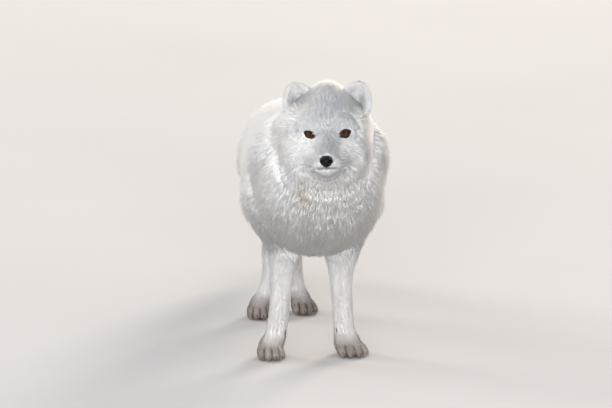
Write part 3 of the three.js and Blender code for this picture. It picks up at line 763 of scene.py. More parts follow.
SKIN_LOW = (-100, -180, -3)
SKIN_HIGH = (110, 560, 380)
SKIN_CELL = 3.2
EAR_CELL = 1.8


def skin_surface():
    """Points, normals and faces of the skin, finer on the face and the feet, with the ears' shells."""
    cell = SKIN_CELL
    points, faces = nets(skin_mass, SKIN_LOW, SKIN_HIGH, cell)
    points, _ = settle(skin_mass, points, 2, cell / 2)

    def fine(at):
        q = to_head(np.array([at]))[0]
        return at.z < 40 or (abs(q[0]) < 60 and -80 < q[1] < 45 and -70 < q[2] < 45)
    points, faces = bmesh_refined(points, faces, fine)
    points, normals = settle(skin_mass, points, 2, cell / 2)
    for s in SIDES.values():
        shell = ear_mass(s)
        middle = np.array(HEAD @ Vector((s * EAR_AT[0], *EAR_AT[1:])))
        ear_points, ear_faces = nets(shell, middle - EAR_ROOM, middle + EAR_ROOM, EAR_CELL)
        ear_points, ear_normals = settle(shell, ear_points, 2, EAR_CELL / 2)
        faces += [[int(i) + len(points) for i in face] for face in ear_faces]
        points = np.concatenate([points, ear_points])
        normals = np.concatenate([normals, ear_normals])
    return points, normals, faces


def unit(v):
    return v / np.maximum(np.linalg.norm(v, axis=1), 1e-9)[:, None]


def step(x, low, high):
    t = np.clip((x - low) / (high - low), 0, 1)
    return t * t * (3 - 2 * t)


def fading(distance, reach):
    """1 at no distance, and fading to nothing over a few times the reach."""
    return np.exp(-(distance / reach) ** 2)


def off_line(p, a, b):
    """Distance from the line between two points."""
    a, b = np.array(a, float), np.array(b, float)
    t = np.clip((p - a) @ (b - a) / ((b - a) @ (b - a)), 0, 1)
    return np.linalg.norm(p - a - t[:, None] * (b - a), axis=1)


def along_spine(p, stations):
    """The direction of the nearest stretch of a spine."""
    points = through(stations, 3)[:, :3]
    nearest, way = np.full(len(p), np.inf), np.zeros((len(p), 3))
    for a, b in zip(points[:-1], points[1:]):
        run = b - a
        t = np.clip((p - a) @ run / (run @ run), 0, 1)
        far = np.linalg.norm(p - a - t[:, None] * run, axis=1)
        closer = far < nearest
        nearest[closer] = far[closer]
        way[closer] = run / np.linalg.norm(run)
    return way


# A tuft's length grows with the coat's depth. On the feet and the ears it is the same all over.
LENGTH_BY_DEPTH = 1.45
LENGTH_LEAST = 5
FOOT_TUFT = 6.0
EAR_TUFT = 7.0
FLUFFED = 0.45  # how much higher the coat stands where the body faces up, as a share
FAR_OFF = 99.0  # a distance that stands for nowhere near
# A faint dark streak runs out from each eye's outer corner.
STREAK_OUT = 12
STREAK_HALF = 3
STREAK_WIDTH = 0.9
STREAK_DARK = 0.35


class Places:
    """Where each vertex of the skin lies on the fox, and so how the coat grows there."""

    def __init__(self, p, n):
        self.p, self.n = p, n
        q = self.q = to_head(p)
        part = {
            "trunk": TRUNK(p, 0), "neck": NECK(p, 0), "throat": THROAT(p, 0), "legs": SHANKS(p, 0),
            "tail": TAIL(p, 0), "head": placed(HEAD, FACE)(p, 0),
        }
        self.ear_gap = np.minimum(*(ear_mass(s)(p) for s in SIDES.values()))
        self.ear = (self.ear_gap < 0.8) & (q[:, 2] > EAR_FOOT)
        nearest = np.minimum.reduce(list(part.values()))
        weight = {name: np.exp(-(d - nearest) / 9.0) for name, d in part.items()}
        total = sum(weight.values())
        self.weight = {name: share / total for name, share in weight.items()}
        self.body = 1 - np.maximum(self.weight["head"], self.weight["legs"])
        self.depth = np.clip(-OUTLINE(p, 0), 0.6, 40)
        self.depth[self.ear] = EAR_COAT
        self.eye = np.minimum(*(self.rim_distance(s) for s in SIDES.values()))
        self.nose = NOSE(q, 0)
        at_lips = (q[:, 1] < -42) & (self.weight["head"] > 0.5)
        self.mouth = np.where(at_lips, np.abs(mouth_line(q)), FAR_OFF)  # distance from the lips' parting
        self.face = step(-q[:, 1], -28, 2) * (self.weight["head"] > 0.5)
        cups = [placed(HEAD, ear_eggs(s)[1])(p, 0) for s in SIDES.values()]
        self.hollow = self.ear * step(-np.minimum(*cups), -1.2, 0.2)  # 1 inside the ears' cups
        self.toes()

    def rim_distance(self, s):
        """Distance from the outer edge of one eye's dark rim."""
        across, up, ahead = eye_plane(self.q, s)
        wide, high = EYE_HALF_WIDTH + LID_RIM, EYE_HALF_HEIGHT + LID_RIM
        almond = np.hypot(across / wide, up / high)
        return np.where((ahead > -4) & (s * self.q[:, 0] > 0), (almond - 1) * high, FAR_OFF)

    def toes(self):
        """Painted shade in the gaps between the toes, as 1 in the crease."""
        self.crease_shade = np.zeros(len(self.p))
        self.foot = step(-self.p[:, 2], -44, -22) * (self.weight["legs"] > 0.5)
        for leg in LEGS.values():
            at = np.array(foot_matrix(leg).inverted())
            local = self.p @ at[:3, :3].T + at[:3, 3]
            close = (np.abs(local[:, 0]) < 34) & (np.abs(local[:, 1]) < 40) & (local[:, 2] < 28)
            if not close.any():
                continue
            each = np.sort(np.stack([toe(leg["half_width"], *t)(local[close], 0) for t in TOES]), 0)
            front = step(-local[close][:, 1], 0, 8) * step(-local[close][:, 2], -19, -12)
            self.crease_shade[close] = np.exp(-((each[1] - each[0]) / 1.6) ** 2) * front

    def lie(self):
        """The way the hair points, before it is laid flat on the skin."""
        p, q = self.p, self.q
        n = len(p)
        side = (p[:, :1] - 4) * (1, 0, 0) / 90
        ways = {
            "trunk": np.tile((0.0, 0.9, -0.62), (n, 1)) + 0.25 * side,
            "neck": np.tile((0.0, 0.6, -0.95), (n, 1)) + 0.35 * side,
            "throat": np.tile((0.0, 0.25, -1.0), (n, 1)) + 0.2 * side,
            "legs": np.tile((0.0, 0.12, -1.0), (n, 1)),
            "tail": along_spine(p, TAIL_STATIONS),
        }
        foot = self.foot[:, None]
        ways["legs"] = ways["legs"] * (1 - foot) + np.array((0.0, -0.9, -0.5)) * foot
        from_nose = q - np.array((0, -MUZZLE_LENGTH - 6, -24))
        from_nose[:, 0] *= 1.25
        from_nose[:, 2] *= 0.8
        head = unit(from_nose)
        cheek = step(-q[:, 2], 0, 25) * step(q[:, 1], -20, 20)
        outwards = np.sign(q[:, :1])
        head = head + (outwards * (0.5, 0, 0) + (0, 0, -0.55)) * cheek[:, None]
        ways["head"] = head @ HEAD_ROWS.T
        way = sum(unit(ways[name]) * self.weight[name][:, None] for name in ways)
        up = (outwards * (0.25, 0, 0) + (0, -0.1, 1)) @ HEAD_ROWS.T
        way[self.ear] = up[self.ear]
        return unit(way - self.n * (way * self.n).sum(1)[:, None])

    def marks(self):
        """Ochre stains with a faint painted warm light, tan, and grey that is painted shade on the face and
        partly grey fur in the ears, each from 0 to 1.
        """
        p, q = self.p, self.q
        stain = OCHRE_AND_WARM_LIGHT["stain"] * fading(off_line(p, *STAIN), 7.5)
        stain = stain + OCHRE_AND_WARM_LIGHT["trickle"] * fading(off_line(p, *TRICKLE), 5)
        for s in SIDES.values():
            smudge = off_line(q, *(np.array(end) * (s, 1, 1) for end in (SMUDGE_FRONT, SMUDGE_BACK)))
            stain = stain + OCHRE_AND_WARM_LIGHT["smudge"] * fading(smudge, 3.0)
        # Painted warm light: a faint warm tint on one side of the chest.
        chest = ((p - np.array(WARM_LIGHT_TINT_AT)) / np.array(WARM_LIGHT_TINT_REACH)) ** 2
        stain = np.clip(stain + OCHRE_AND_WARM_LIGHT["chest"] * np.exp(-chest.sum(1)), 0, 1)
        tan = TAN["feet"] * step(-p[:, 2], -44, -8) * (self.weight["legs"] > 0.4)
        tan = np.maximum(tan, TAN["legs"] * step(-p[:, 2], -170, -60) * self.weight["legs"])
        # Painted shade: the bridge, forehead, top of the nose and lower lip are greyed as if in cool shade.
        bridge = step(-np.abs(q[:, 0]), -19, -3) * step(-q[:, 1], -40, 10) * step(q[:, 2], -34, -18)
        forehead = step(-np.abs(q[:, 0]), -30, -6) * step(q[:, 2], -14, 12) * step(-q[:, 1], -42, -5)
        forehead = forehead * step(-q[:, 2], -62, -32)
        above_nose = fading(self.nose, 6) * step(q[:, 2], -32, -26)
        lower_lip = fading(self.mouth, 5) * step(-q[:, 1], 30, 45)
        grey_and_shade = np.maximum.reduce([GREY_AND_SHADE["bridge"] * bridge, GREY_AND_SHADE["forehead"] * forehead,
                                  GREY_AND_SHADE["nose"] * above_nose, GREY_AND_SHADE["lip"] * lower_lip])
        grey_and_shade = np.maximum(grey_and_shade * self.weight["head"], GREY_AND_SHADE["face"] * self.face)
        # Inside the ears' cups the grey is partly their fur and partly painted shade.
        grey_and_shade = np.maximum(grey_and_shade, GREY_AND_SHADE["ears"] * self.hollow)
        return np.stack([stain, tan, grey_and_shade], 1)

    def dark(self):
        """Dark bare skin of the lids, lips and nose, a faint streak from each eye, and painted shade below
        the lips, in the creases between the toes and in the ears' cups.
        """
        x, y, z = self.q.T
        # Besides the dark lips, painted shade: the lower lip darkened below the parting.
        lips = np.maximum(fading(self.mouth, 1.8), 0.35 * fading(self.mouth, 5) * (z < MOUTH_FRONT))
        lips = lips * step(-y, 38, 44) * self.lip_shows()
        lips = np.maximum(lips, fading(x, 1.0) * (np.abs(z + 37) < 3) * (y < -50))
        around = step(-self.eye, -0.2, 1.2)
        for s in SIDES.values():
            across, up, ahead = eye_plane(self.q, s)
            streak = np.hypot(np.maximum(np.abs(across - STREAK_OUT) - STREAK_HALF, 0), up / STREAK_WIDTH)
            around = np.maximum(around, STREAK_DARK * fading(streak, 1) * (ahead > -12))
        nose = step(-self.nose, -1.4, -0.4)
        # The toe creases and the ears' cups join in as painted shade.
        return np.clip(np.maximum.reduce([lips, around, nose, self.crease_shade, self.pocket_shade()]), 0, 1)

    def tuft_length(self):
        """How far a tuft lies along the skin: shorter at the eyes, nose, mouth, ears and feet."""
        lying = self.depth * LENGTH_BY_DEPTH + LENGTH_LEAST
        lying = np.where(self.foot > 0.5, FOOT_TUFT, lying)
        near_eye = step(self.eye, 0.0, 16)
        near_nose = step(self.nose, 0.5, 22)
        lying = lying * (0.5 + 0.5 * near_eye * near_nose) * (0.6 + 0.4 * step(self.mouth, 1, 8))
        lying = np.where(self.ear, lying, lying * (0.55 + 0.45 * step(self.ear_gap, 2, 16)))
        return np.where(self.ear, EAR_TUFT + 3.0 * self.hollow, lying)

    def tuft_rise(self):
        """How high a tuft rises off the skin: higher where the body faces up, and flat round the eyes."""
        fluffed = 1 + FLUFFED * self.body * step(self.n[:, 2], 0.0, 0.7)
        return self.depth * fluffed * (0.55 + 0.45 * step(self.eye, 0.0, 16))

    def tuft_width(self):
        return 0.55 + 0.026 * self.depth + 0.1 * self.body

    def room(self, dark):
        """The share of the tufts that grow: none on dark bare skin or dark painted shade, the nose, the lids
        and the soles.
        """
        room = 1 - np.clip(dark * 1.6, 0, 1)
        room *= step(self.eye, -0.2, 1.2) * step(self.nose, 0.1, 0.8) * step(self.p[:, 2], 2.0, 4.0)
        parting = np.maximum(step(self.mouth, 0.5, 1.6), 1 - self.lip_shows())
        return np.where(self.hollow > 0.5, 1.0, room * parting)

    def lip_shows(self):
        """1 where the lips' dark edge is bare, and 0 where the cheeks' hair covers it."""
        return step(-np.abs(self.q[:, 0]), -15, -9)

    def pocket_shade(self):
        """Painted shade in the ears' cups: a little dark all over, partly their darker fur, and darkest low
        at their outer edges.
        """
        out, back, up = EAR_AT
        flat = self.q * (1, 0, 1) + (0, back, 0)
        deepest = np.minimum(*(off_line(flat, (s * (out + 9), back, up + 5), (s * (out + 5), back, up - 17))
                               for s in SIDES.values()))
        return self.hollow * (0.16 + 0.5 * fading(deepest, 5.5))


REGIONS = {
    # name: tufts for each square millimetre, and the slot
    "chest": (0.42, "coat"),
    "flanks": (0.34, "coat"),
    "rump": (0.35, "coat"),
    "neck": (0.44, "coat"),
    "tail": (0.43, "coat"),
    "crown": (1.6, "face_coat"),
    "face": (1.45, "face_coat"),
    "legs": (0.44, "coat"),
    "feet": (0.8, "foot_coat"),
    "ears": (1.1, "ear_coat"),
}


# Where the coat's regions meet. The face's back edge is in the head's own frame.
FACE_BACK = 30
FEET_TOP = 30
LEGS_TOP = 150
NECK_BASE = 236
CHEST_BACK = 40
RUMP_FRONT = 150


def coat_regions(at):
    """Which region of the coat each vertex belongs to, 1 inside it and 0 outside."""
    w, p, q = at.weight, at.p, at.q
    head = (w["head"] > 0.5) & ~at.ear
    tail = (w["tail"] > 0.5) & ~at.ear
    legs = (w["legs"] > 0.5) & (p[:, 2] < LEGS_TOP)
    trunk = ~(head | tail | legs | at.ear)
    front = p[:, 1] < CHEST_BACK
    neck = trunk & front & (p[:, 2] > NECK_BASE)
    masks = {
        "ears": at.ear,
        "face": head & (q[:, 1] < FACE_BACK),
        "crown": head & (q[:, 1] >= FACE_BACK),
        "tail": tail,
        "feet": legs & (p[:, 2] < FEET_TOP),
        "legs": legs & (p[:, 2] >= FEET_TOP),
        "neck": neck,
        "chest": trunk & front & ~neck,
        "flanks": trunk & ~front & (p[:, 1] < RUMP_FRONT),
        "rump": trunk & (p[:, 1] >= RUMP_FRONT),
    }
    return {name: mask.astype(float) for name, mask in masks.items()}


def unwrapped(made, name):
    """Unwraps a mesh in its own shape."""
    bpy.context.view_layer.objects.active = made
    made.select_set(True)
    made.data.uv_layers.new(name=name)
    bpy.ops.object.mode_set(mode="EDIT")
    bpy.ops.mesh.select_all(action="SELECT")
    bpy.ops.uv.smart_project(angle_limit=math.radians(66), island_margin=0.002)
    bpy.ops.object.mode_set(mode="OBJECT")
    made.select_set(False)


class FOX_OT_skin(bpy.types.Operator):
    """Make one skin for the whole fox, inside its solids by half the depth of the coat"""
    bl_idname = "fox.skin"
    bl_label = "Skin"

    def execute(self, context):
        points, normals, faces = skin_surface()
        made = mesh_object("fox_skin", points, faces)
        mesh = made.data
        at = Places(points, normals)
        dark = at.dark()
        values = {
            "marks": at.marks(), "dark": dark, "lie": at.lie(), "lying": at.tuft_length() * MM,
            "rise": at.tuft_rise() * MM, "wide": at.tuft_width() * MM,
        }
        for name, value in values.items():
            set_values(mesh, name, value)
        room = at.room(dark)
        for name, mask in coat_regions(at).items():
            set_values(mesh, f"room_{name}", mask * room)
        unwrapped(made, "plan")
        mesh.materials.append(skin_finish(context.scene.fox_coat))
        finished(made, "coat", *FLESH)
        return {"FINISHED"}


# ------------------------------------------------------------------ coat
PATCH = 0.003  # size of a tuft's patch on the skin's unwrap


def tuft_mesh(bend):
    """One lock of hair, closed and three-sided. It rises along Z and lies over towards X."""
    rings = [((0, 0, 0), 0.30, 0.012), ((0.32, bend * 0.4, 0.64), 0.5, 0.016)]
    points, along = [], []
    for n, ((x, y, z), half, thick) in enumerate(rings):
        points += [(x - thick, y, z + thick)]
        points += [(x + thick, y + side * half, z - thick) for side in (-1, 1)]
        along += [0.45 * n] * 3
    points.append((1, bend, 1))
    along.append(1)
    faces = [(0, 2, 1)]
    for i in range(3):
        j = (i + 1) % 3
        faces += [(i, j, j + 3, i + 3), (i + 3, j + 3, 6)]
    mesh = bpy.data.meshes.new("tuft")
    mesh.from_pydata(points, [], faces)
    set_values(mesh, "along", np.array(along, float))
    patch = mesh.uv_layers.new(name="patch")
    for loop in mesh.loops:
        aside = min(max(points[loop.vertex_index][1], -0.5), 0.5)
        patch.data[loop.index].uv = (PATCH * along[loop.vertex_index], PATCH / 2 + PATCH * aside * 2 / 3)
    return mesh


def tuft_collection():
    tufts = bpy.data.collections.new("tufts")
    for bend in (-0.9, 0.0, 0.9):
        tufts.objects.link(bpy.data.objects.new("tuft", tuft_mesh(bend)))
    return tufts


LOCK_SCALE = 46.0  # scale of the noise that sways whole locks together
LOCK_SWAY = 2.2
TUFT_SWAY = 0.9  # how far each tuft strays by itself


def coat_tree():
    """Scatters tufts over a skin, laid along it, each with its colours and its patch of the skin's unwrap."""
    tree = bpy.data.node_groups.new("fox_coat", "GeometryNodeTree")
    sockets = {
        "Skin": "NodeSocketGeometry", "Tufts": "NodeSocketCollection", "Room": "NodeSocketString",
        "Density": "NodeSocketFloat", "Width": "NodeSocketFloat", "Sway": "NodeSocketFloat",
        "Seed": "NodeSocketInt", "Finish": "NodeSocketMaterial",
    }
    for name, kind in sockets.items():
        tree.interface.new_socket(name, in_out="INPUT", socket_type=kind)
    tree.interface.new_socket("Coat", in_out="OUTPUT", socket_type="NodeSocketGeometry")
    start = Wire(tree)
    given = tree.nodes.new("NodeGroupInput")
    inputs = {name: Wire(tree, given.outputs[name]) for name in sockets}

    def named(name, kind="FLOAT"):
        return start.put("GeometryNodeInputNamedAttribute", {"data_type": kind}, {"Name": name})

    def random(low, high, seed):
        return start.put("FunctionNodeRandomValue", {"data_type": "FLOAT"},
                         {"Min": low, "Max": high, "Seed": seed})

    density = named(inputs["Room"]) * inputs["Density"]
    spread = start.put("GeometryNodeDistributePointsOnFaces", {"distribute_method": "RANDOM"},
                       {"Mesh": inputs["Skin"], "Density": density, "Seed": inputs["Seed"]}, "Points")
    normal = Wire(tree, spread.socket.node.outputs["Normal"])
    rooted = start.put("GeometryNodeStoreNamedAttribute", {"data_type": "FLOAT_VECTOR", "domain": "POINT"},
                       {"Geometry": spread, "Name": "upright", "Value": normal})
    at = start.put("GeometryNodeInputPosition")
    locks = noise(at, LOCK_SCALE, 1.5, "Color")
    stray = start.put("FunctionNodeRandomValue", {"data_type": "FLOAT_VECTOR"},
                      {"Min": (-0.5,) * 3, "Max": (0.5,) * 3, "Seed": 3}, "Value")
    lock_sway = start.vector("SUBTRACT", locks, (0.5,) * 3).scaled(LOCK_SWAY)
    astray = start.vector("ADD", lock_sway, stray.scaled(TUFT_SWAY))
    lie = start.vector("ADD", named("lie", "FLOAT_VECTOR"), astray.scaled(inputs["Sway"]))
    turn = start.put("FunctionNodeAxesToRotation", {"primary_axis": "Z", "secondary_axis": "X"},
                     {"Primary Axis": normal, "Secondary Axis": lie})
    heave = noise(at, 55.0, 1.0)
    size = random(0.72, 1.12, 5)
    scale = start.put("ShaderNodeCombineXYZ", links={
        "X": named("lying") * size,
        "Y": named("wide") * random(0.7, 1.35, 7) * inputs["Width"],
        "Z": named("rise") * random(0.86, 1.04, 9) * (0.86 + 0.26 * heave),
    })
    picked = start.put("GeometryNodeCollectionInfo", links={
        "Collection": inputs["Tufts"], "Separate Children": True, "Reset Children": True})
    growing = start.put("GeometryNodeInstanceOnPoints", links={
        "Points": rooted, "Instance": picked, "Pick Instance": True, "Rotation": turn, "Scale": scale})
    toned = start.put("GeometryNodeStoreNamedAttribute", {"data_type": "FLOAT", "domain": "INSTANCE"},
                      {"Geometry": growing, "Name": "tone", "Value": random(0.0, 1.0, 13)})
    real = start.put("GeometryNodeRealizeInstances", links={"Geometry": toned})
    patch = start.vector("ADD", named("plan", "FLOAT_VECTOR"), named("patch", "FLOAT_VECTOR"))
    mapped = start.put("GeometryNodeStoreNamedAttribute", {"data_type": "FLOAT2", "domain": "CORNER"},
                       {"Geometry": real, "Name": "OFBake", "Value": patch})
    soft = start.put("GeometryNodeSetShadeSmooth", links={"Geometry": mapped})
    done = start.put("GeometryNodeSetMaterial", links={"Geometry": soft, "Material": inputs["Finish"]})
    out = tree.nodes.new("NodeGroupOutput")
    tree.links.new(done.socket, out.inputs["Coat"])
    return tree


GROWTH = ("lie", "lying", "rise", "wide")  # what only the growing coat needs from the skin
KEPT = {"position", "upright", "marks", "dark", "along", "tone", "OFBake", "sharp_face", "material_index"}


def grown(skin, tree, name, values):
    """Runs the coat's tree on the skin and keeps the result as a plain mesh."""
    carrier = bpy.data.objects.new(name + "_carrier", skin.data)
    bpy.context.scene.collection.objects.link(carrier)
    modifier = carrier.modifiers.new("coat", "NODES")
    modifier.node_group = tree
    for item in tree.interface.items_tree:
        if item.in_out == "INPUT" and item.name in values:
            modifier[item.identifier] = values[item.name]
    graph = bpy.context.evaluated_depsgraph_get()
    mesh = bpy.data.meshes.new_from_object(carrier.evaluated_get(graph))
    carrier.modifiers.remove(modifier)
    bpy.data.objects.remove(carrier)
    for attribute_name in [a.name for a in mesh.attributes]:
        if attribute_name not in KEPT and not attribute_name.startswith("."):
            mesh.attributes.remove(mesh.attributes[attribute_name])
    mesh.name = name
    made = bpy.data.objects.new(name, mesh)
    bpy.context.scene.collection.objects.link(made)
    return made


class FOX_OT_coat(bpy.types.Operator):
    """Grow the winter coat as solid tufts, one piece for each region of the body"""
    bl_idname = "fox.coat"
    bl_label = "Coat"

    def execute(self, context):
        coat = context.scene.fox_coat
        skin = bpy.data.objects["fox_skin"]
        tree = coat_tree()
        tufts = tuft_collection()
        finish = coat_finish(coat)
        fullness = coat.fullness * 1
        for n, (name, (density, slot)) in enumerate(REGIONS.items()):
            made = grown(skin, tree, f"coat_{name}", {
                "Tufts": tufts, "Room": f"room_{name}", "Density": density / MM ** 2 * fullness,
                "Width": coat.width * 1, "Sway": coat.sway,
                "Seed": coat.seed + n,
                "Finish": finish})
            finished(made, slot)
            print(made.name, sum(len(p.vertices) - 2 for p in made.data.polygons), "triangles")
        for each in list(tufts.objects):
            bpy.data.objects.remove(each)
        bpy.data.collections.remove(tufts)
        skin.data.uv_layers["plan"].name = "OFBake"
        for attribute_name in [a.name for a in skin.data.attributes]:
            if attribute_name.startswith("room_") or attribute_name in GROWTH:
                skin.data.attributes.remove(skin.data.attributes[attribute_name])
        return {"FINISHED"}


# ------------------------------------------------------------------ eyes and lids
BALL_RADIUS = 8.0
CORNEA_RISE = 0.045  # as a share of the ball's radius
CORNEA_SPREAD = 0.62  # radians from the line of sight
EYE_RIM = (0.02, 0.013, 0.010)  # the dark ball beyond the iris
PUPIL_BLACK = (0.003, 0.003, 0.003)
PUPIL_WIDTH = 0.72  # the pupil's width, as a share of its height
GAZE = Vector((0.0, -0.985, 0.17)).normalized()  # in the head's own frame


def ringed(rows):
    """Quads between rows of points that go round."""
    count = len(rows[0])
    faces = []
    for r in range(len(rows) - 1):
        for i in range(count):
            j = (i + 1) % count
            faces.append((r * count + i, r * count + j, (r + 1) * count + j, (r + 1) * count + i))
    return np.concatenate(rows), faces


def eyeball(s):
    """A ball with a slightly raised cornea. Its rows go round the line of sight."""
    turns = np.linspace(0, 2 * math.pi, 48, endpoint=False)
    rows, sights = [], []
    for angle in np.linspace(0.02, math.pi - 0.02, 40):
        sight = np.stack([np.cos(turns) * math.sin(angle), np.sin(turns) * math.sin(angle),
                          np.full(len(turns), math.cos(angle))], 1)
        cornea = CORNEA_RISE * math.exp(-(angle / CORNEA_SPREAD) ** 4)
        rows.append(sight * (BALL_RADIUS * (1 + cornea) - BALL_RADIUS * CORNEA_RISE))
        sights.append(sight)
    points, faces = ringed(rows)
    count = len(turns)
    faces += [tuple(range(count))[::-1], tuple(range(len(points) - count, len(points)))]
    upward = GAZE.cross(Vector((1, 0, 0)))
    basis = np.array([Vector((1, 0, 0)), -upward, GAZE], float)
    centre = np.array((s * EYE_SPACING / 2, EYE_BACK, 0))
    return from_head(points @ basis + centre), faces, np.concatenate(sights)


def eye_finish(head):
    material, shader, start = new_material("fox_eye", Roughness=0.08, Specular_IOR_Level=0.05,
                                           Coat_Weight=0.03, Coat_Roughness=0.03, IOR=1.4)
    at = attribute(start, "sight", "Vector")
    x, y, z = at.split()
    ball = BALL_RADIUS * MM
    out = (x * x + y * y).root()
    iris = head.iris_radius / ball
    pupil = head.pupil_radius / ball
    slit = ((x / (pupil * PUPIL_WIDTH)).power(2.0) + (y / pupil).power(2.0)).root()
    round_sight = start.vector("NORMALIZE", start.vector("MULTIPLY", at, (1, 1, 0)))
    fibres = noise(round_sight, 9.0, 3.0)
    color = (out / iris + (fibres - 0.5) * 0.5).band(0.35, 1.0).blend(tuple(head.iris), tuple(head.iris_edge))
    color = (out / iris).band(0.93, 1.05).blend(color, EYE_RIM)
    color = slit.band(0.85, 1.1).blend(PUPIL_BLACK, color)
    color = z.band(-0.05, 0.05).blend(EYE_RIM, color)
    feed(shader, "Base Color", color)
    return material


def skin_ahead(q):
    """How far ahead of each head point the skin lies, by halving along the line of sight."""
    near, far = np.full(len(q), -30.0), np.full(len(q), 30.0)
    for _ in range(16):
        middle = (near + far) / 2
        p = q.copy()
        p[:, 1] = EYE_BACK - middle
        inside = FACE(p, COMBED) < 0
        near = np.where(inside, middle, near)
        far = np.where(inside, far, middle)
    return near


LID_WIDTH = 3.6
LID_ROLL = 1.15  # how far the lids stand out between the ball and the skin
LID_CLEARANCE = 0.25  # between the lids' inner edge and the ball
LID_LIFT = 0.25  # the opening's middle is this much above the ball's centre
DUCT_DROP = 1.6  # the tear duct hangs this much lower than the eye's inner corner


def lid_ring(s):
    """The lids: a black rim that fits the ball, rolls outwards and runs in under the skin."""
    turns = np.linspace(0, 2 * math.pi, 64, endpoint=False)
    count = len(turns)
    across = np.cos(turns)
    lift = np.sin(turns)
    almond = np.sign(lift) * np.abs(lift) ** 1.25
    duct = -0.38 * np.clip(-across - 0.55, 0, 1) * 4  # the tear duct runs towards the nose

    def row(a, u, ahead):
        return from_head(from_eye_plane(a, u, ahead, s))

    rows = [row(across * (EYE_HALF_WIDTH - 1.5), almond * (EYE_HALF_HEIGHT - 1.2), np.full(count, 2.5))]
    shares = [0]
    for share in np.linspace(0, 1, 9):
        a = across * (EYE_HALF_WIDTH + 0.8 * LID_WIDTH * share) + duct * (1 - share * 0.4)
        u = almond * (EYE_HALF_HEIGHT + 0.9 * LID_WIDTH * share) + LID_LIFT
        u = u - DUCT_DROP * np.clip(-across - 0.6, 0, 1)
        ball = np.sqrt(np.maximum((BALL_RADIUS + LID_CLEARANCE) ** 2 - a ** 2 - u ** 2, 4.0))
        skin = skin_ahead(from_eye_plane(a, u, 0 * a, s)) - 0.7 * step(share, 0.7, 1.0)
        mixed = step(share, 0.15, 0.8)
        roll = LID_ROLL * math.sin(math.pi * min(share * 1.35, 1))
        rows.append(row(a, u, ball * (1 - mixed) + skin * mixed + roll))
        shares.append(share)
    rows.append(row(across * (EYE_HALF_WIDTH + 3), almond * (EYE_HALF_HEIGHT + 3), 0 * across))
    shares.append(1)
    points, faces = ringed([*rows, rows[0]])
    points = points[:-count]
    faces = [tuple(i % len(points) for i in face) for face in faces]
    return points, faces, np.repeat(np.array(shares, float), count)


def outward(made):
    """Turns a closed mesh's faces outwards."""
    bm = bmesh.new()
    bm.from_mesh(made.data)
    bmesh.ops.recalc_face_normals(bm, faces=bm.faces)
    bm.to_mesh(made.data)
    bm.free()
    made.data.shade_smooth()


def lid_finish(coat):
    material, shader, start = new_material("fox_lids", Specular_IOR_Level=0.15)
    share = attribute(start, "share")
    furry = object_noise(start, 700.0, 2.0)
    edge = (share + (furry - 0.5) * 0.3).band(0.78, 0.96)
    feed(shader, "Base Color", edge.blend(tuple(coat.dark), LID_FUR))
    feed(shader, "Roughness", 0.5 + 0.4 * edge)
    feed(shader, "Normal", bump(start, furry, 0.4, 0.0004))
    return material


class FOX_OT_eyes(bpy.types.Operator):
    """Make the eyeballs and the lids around them"""
    bl_idname = "fox.eyes"
    bl_label = "Eyes and lids"

    def execute(self, context):
        glass = eye_finish(context.scene.fox_head)
        rim = lid_finish(context.scene.fox_coat)
        for side, s in SIDES.items():
            points, faces, flat = eyeball(s)
            ball = mesh_object(f"eyeball_{side}", points, faces)
            set_values(ball.data, "sight", flat)
            outward(ball)
            ball.data.materials.append(glass)
            finished(ball, "eye", f"eye_{side}")
            points, faces, share = lid_ring(s)
            lids = mesh_object(f"eyelids_{side}", points, faces)
            set_values(lids.data, "share", share)
            outward(lids)
            lids.data.materials.append(rim)
            finished(lids, "face_coat")
        return {"FINISHED"}


# ------------------------------------------------------------------ nose
def nose_surface(p):
    """The nose pad, with two comma-shaped nostrils and a groove down its middle."""
    q = to_head(p)
    d = NOSE(q, 0)
    for s in SIDES.values():
        hole = egg((s * 4.3, NOSE_TIP - 6.2, -27.4), (2.3, 3.4, 1.9), 0, s * 20)(q, 0)
        comma = egg((s * 6.9, NOSE_TIP - 4.0, -28.7), (2.5, 3.2, 0.9), 0, s * -12)(q, 0)
        d = np.maximum(d, -np.minimum(hole, comma))
    return d + fading(q[:, 0], 0.7) * step(-q[:, 2], 26, 30) * step(-q[:, 1], 58, 62)


def nose_finish(head):
    material, shader, start = new_material("fox_nose", Specular_IOR_Level=0.10, Coat_Weight=0.04,
                                           Coat_Roughness=0.3)
    at = start.put("ShaderNodeTexCoord", output="Object")
    pebbles = start.put("ShaderNodeTexVoronoi", {"feature": "DISTANCE_TO_EDGE"},
                        {"Vector": at, "Scale": 900.0})
    patchy = object_noise(start, 160.0, 2.0)
    feed(shader, "Base Color", patchy.band(0.35, 0.75).blend(tuple(head.nose), NOSE_SHEEN))
    feed(shader, "Roughness", 0.42 + 0.2 * patchy)
    feed(shader, "Normal", bump(start, pebbles.band(0.0, 0.25), 0.5, 0.0003))
    return material


class FOX_OT_nose(bpy.types.Operator):
    """Make the nose leather with its nostrils"""
    bl_idname = "fox.nose"
    bl_label = "Nose"

    def execute(self, context):
        middle = np.array(HEAD @ Vector((0, NOSE_TIP, -28.5)))
        points, faces = nets(nose_surface, middle - 14, middle + 14, 0.55)
        points, _ = settle(nose_surface, points, 2, 0.25)
        made = mesh_object("nose_leather", points, faces)
        made.data.materials.append(nose_finish(context.scene.fox_head))
        finished(made, "nose", "nose")
        return {"FINISHED"}


# ------------------------------------------------------------------ whiskers
HAIR_CORNERS = (0.5, 2.6, 4.7)  # radians round a hair's three-sided section


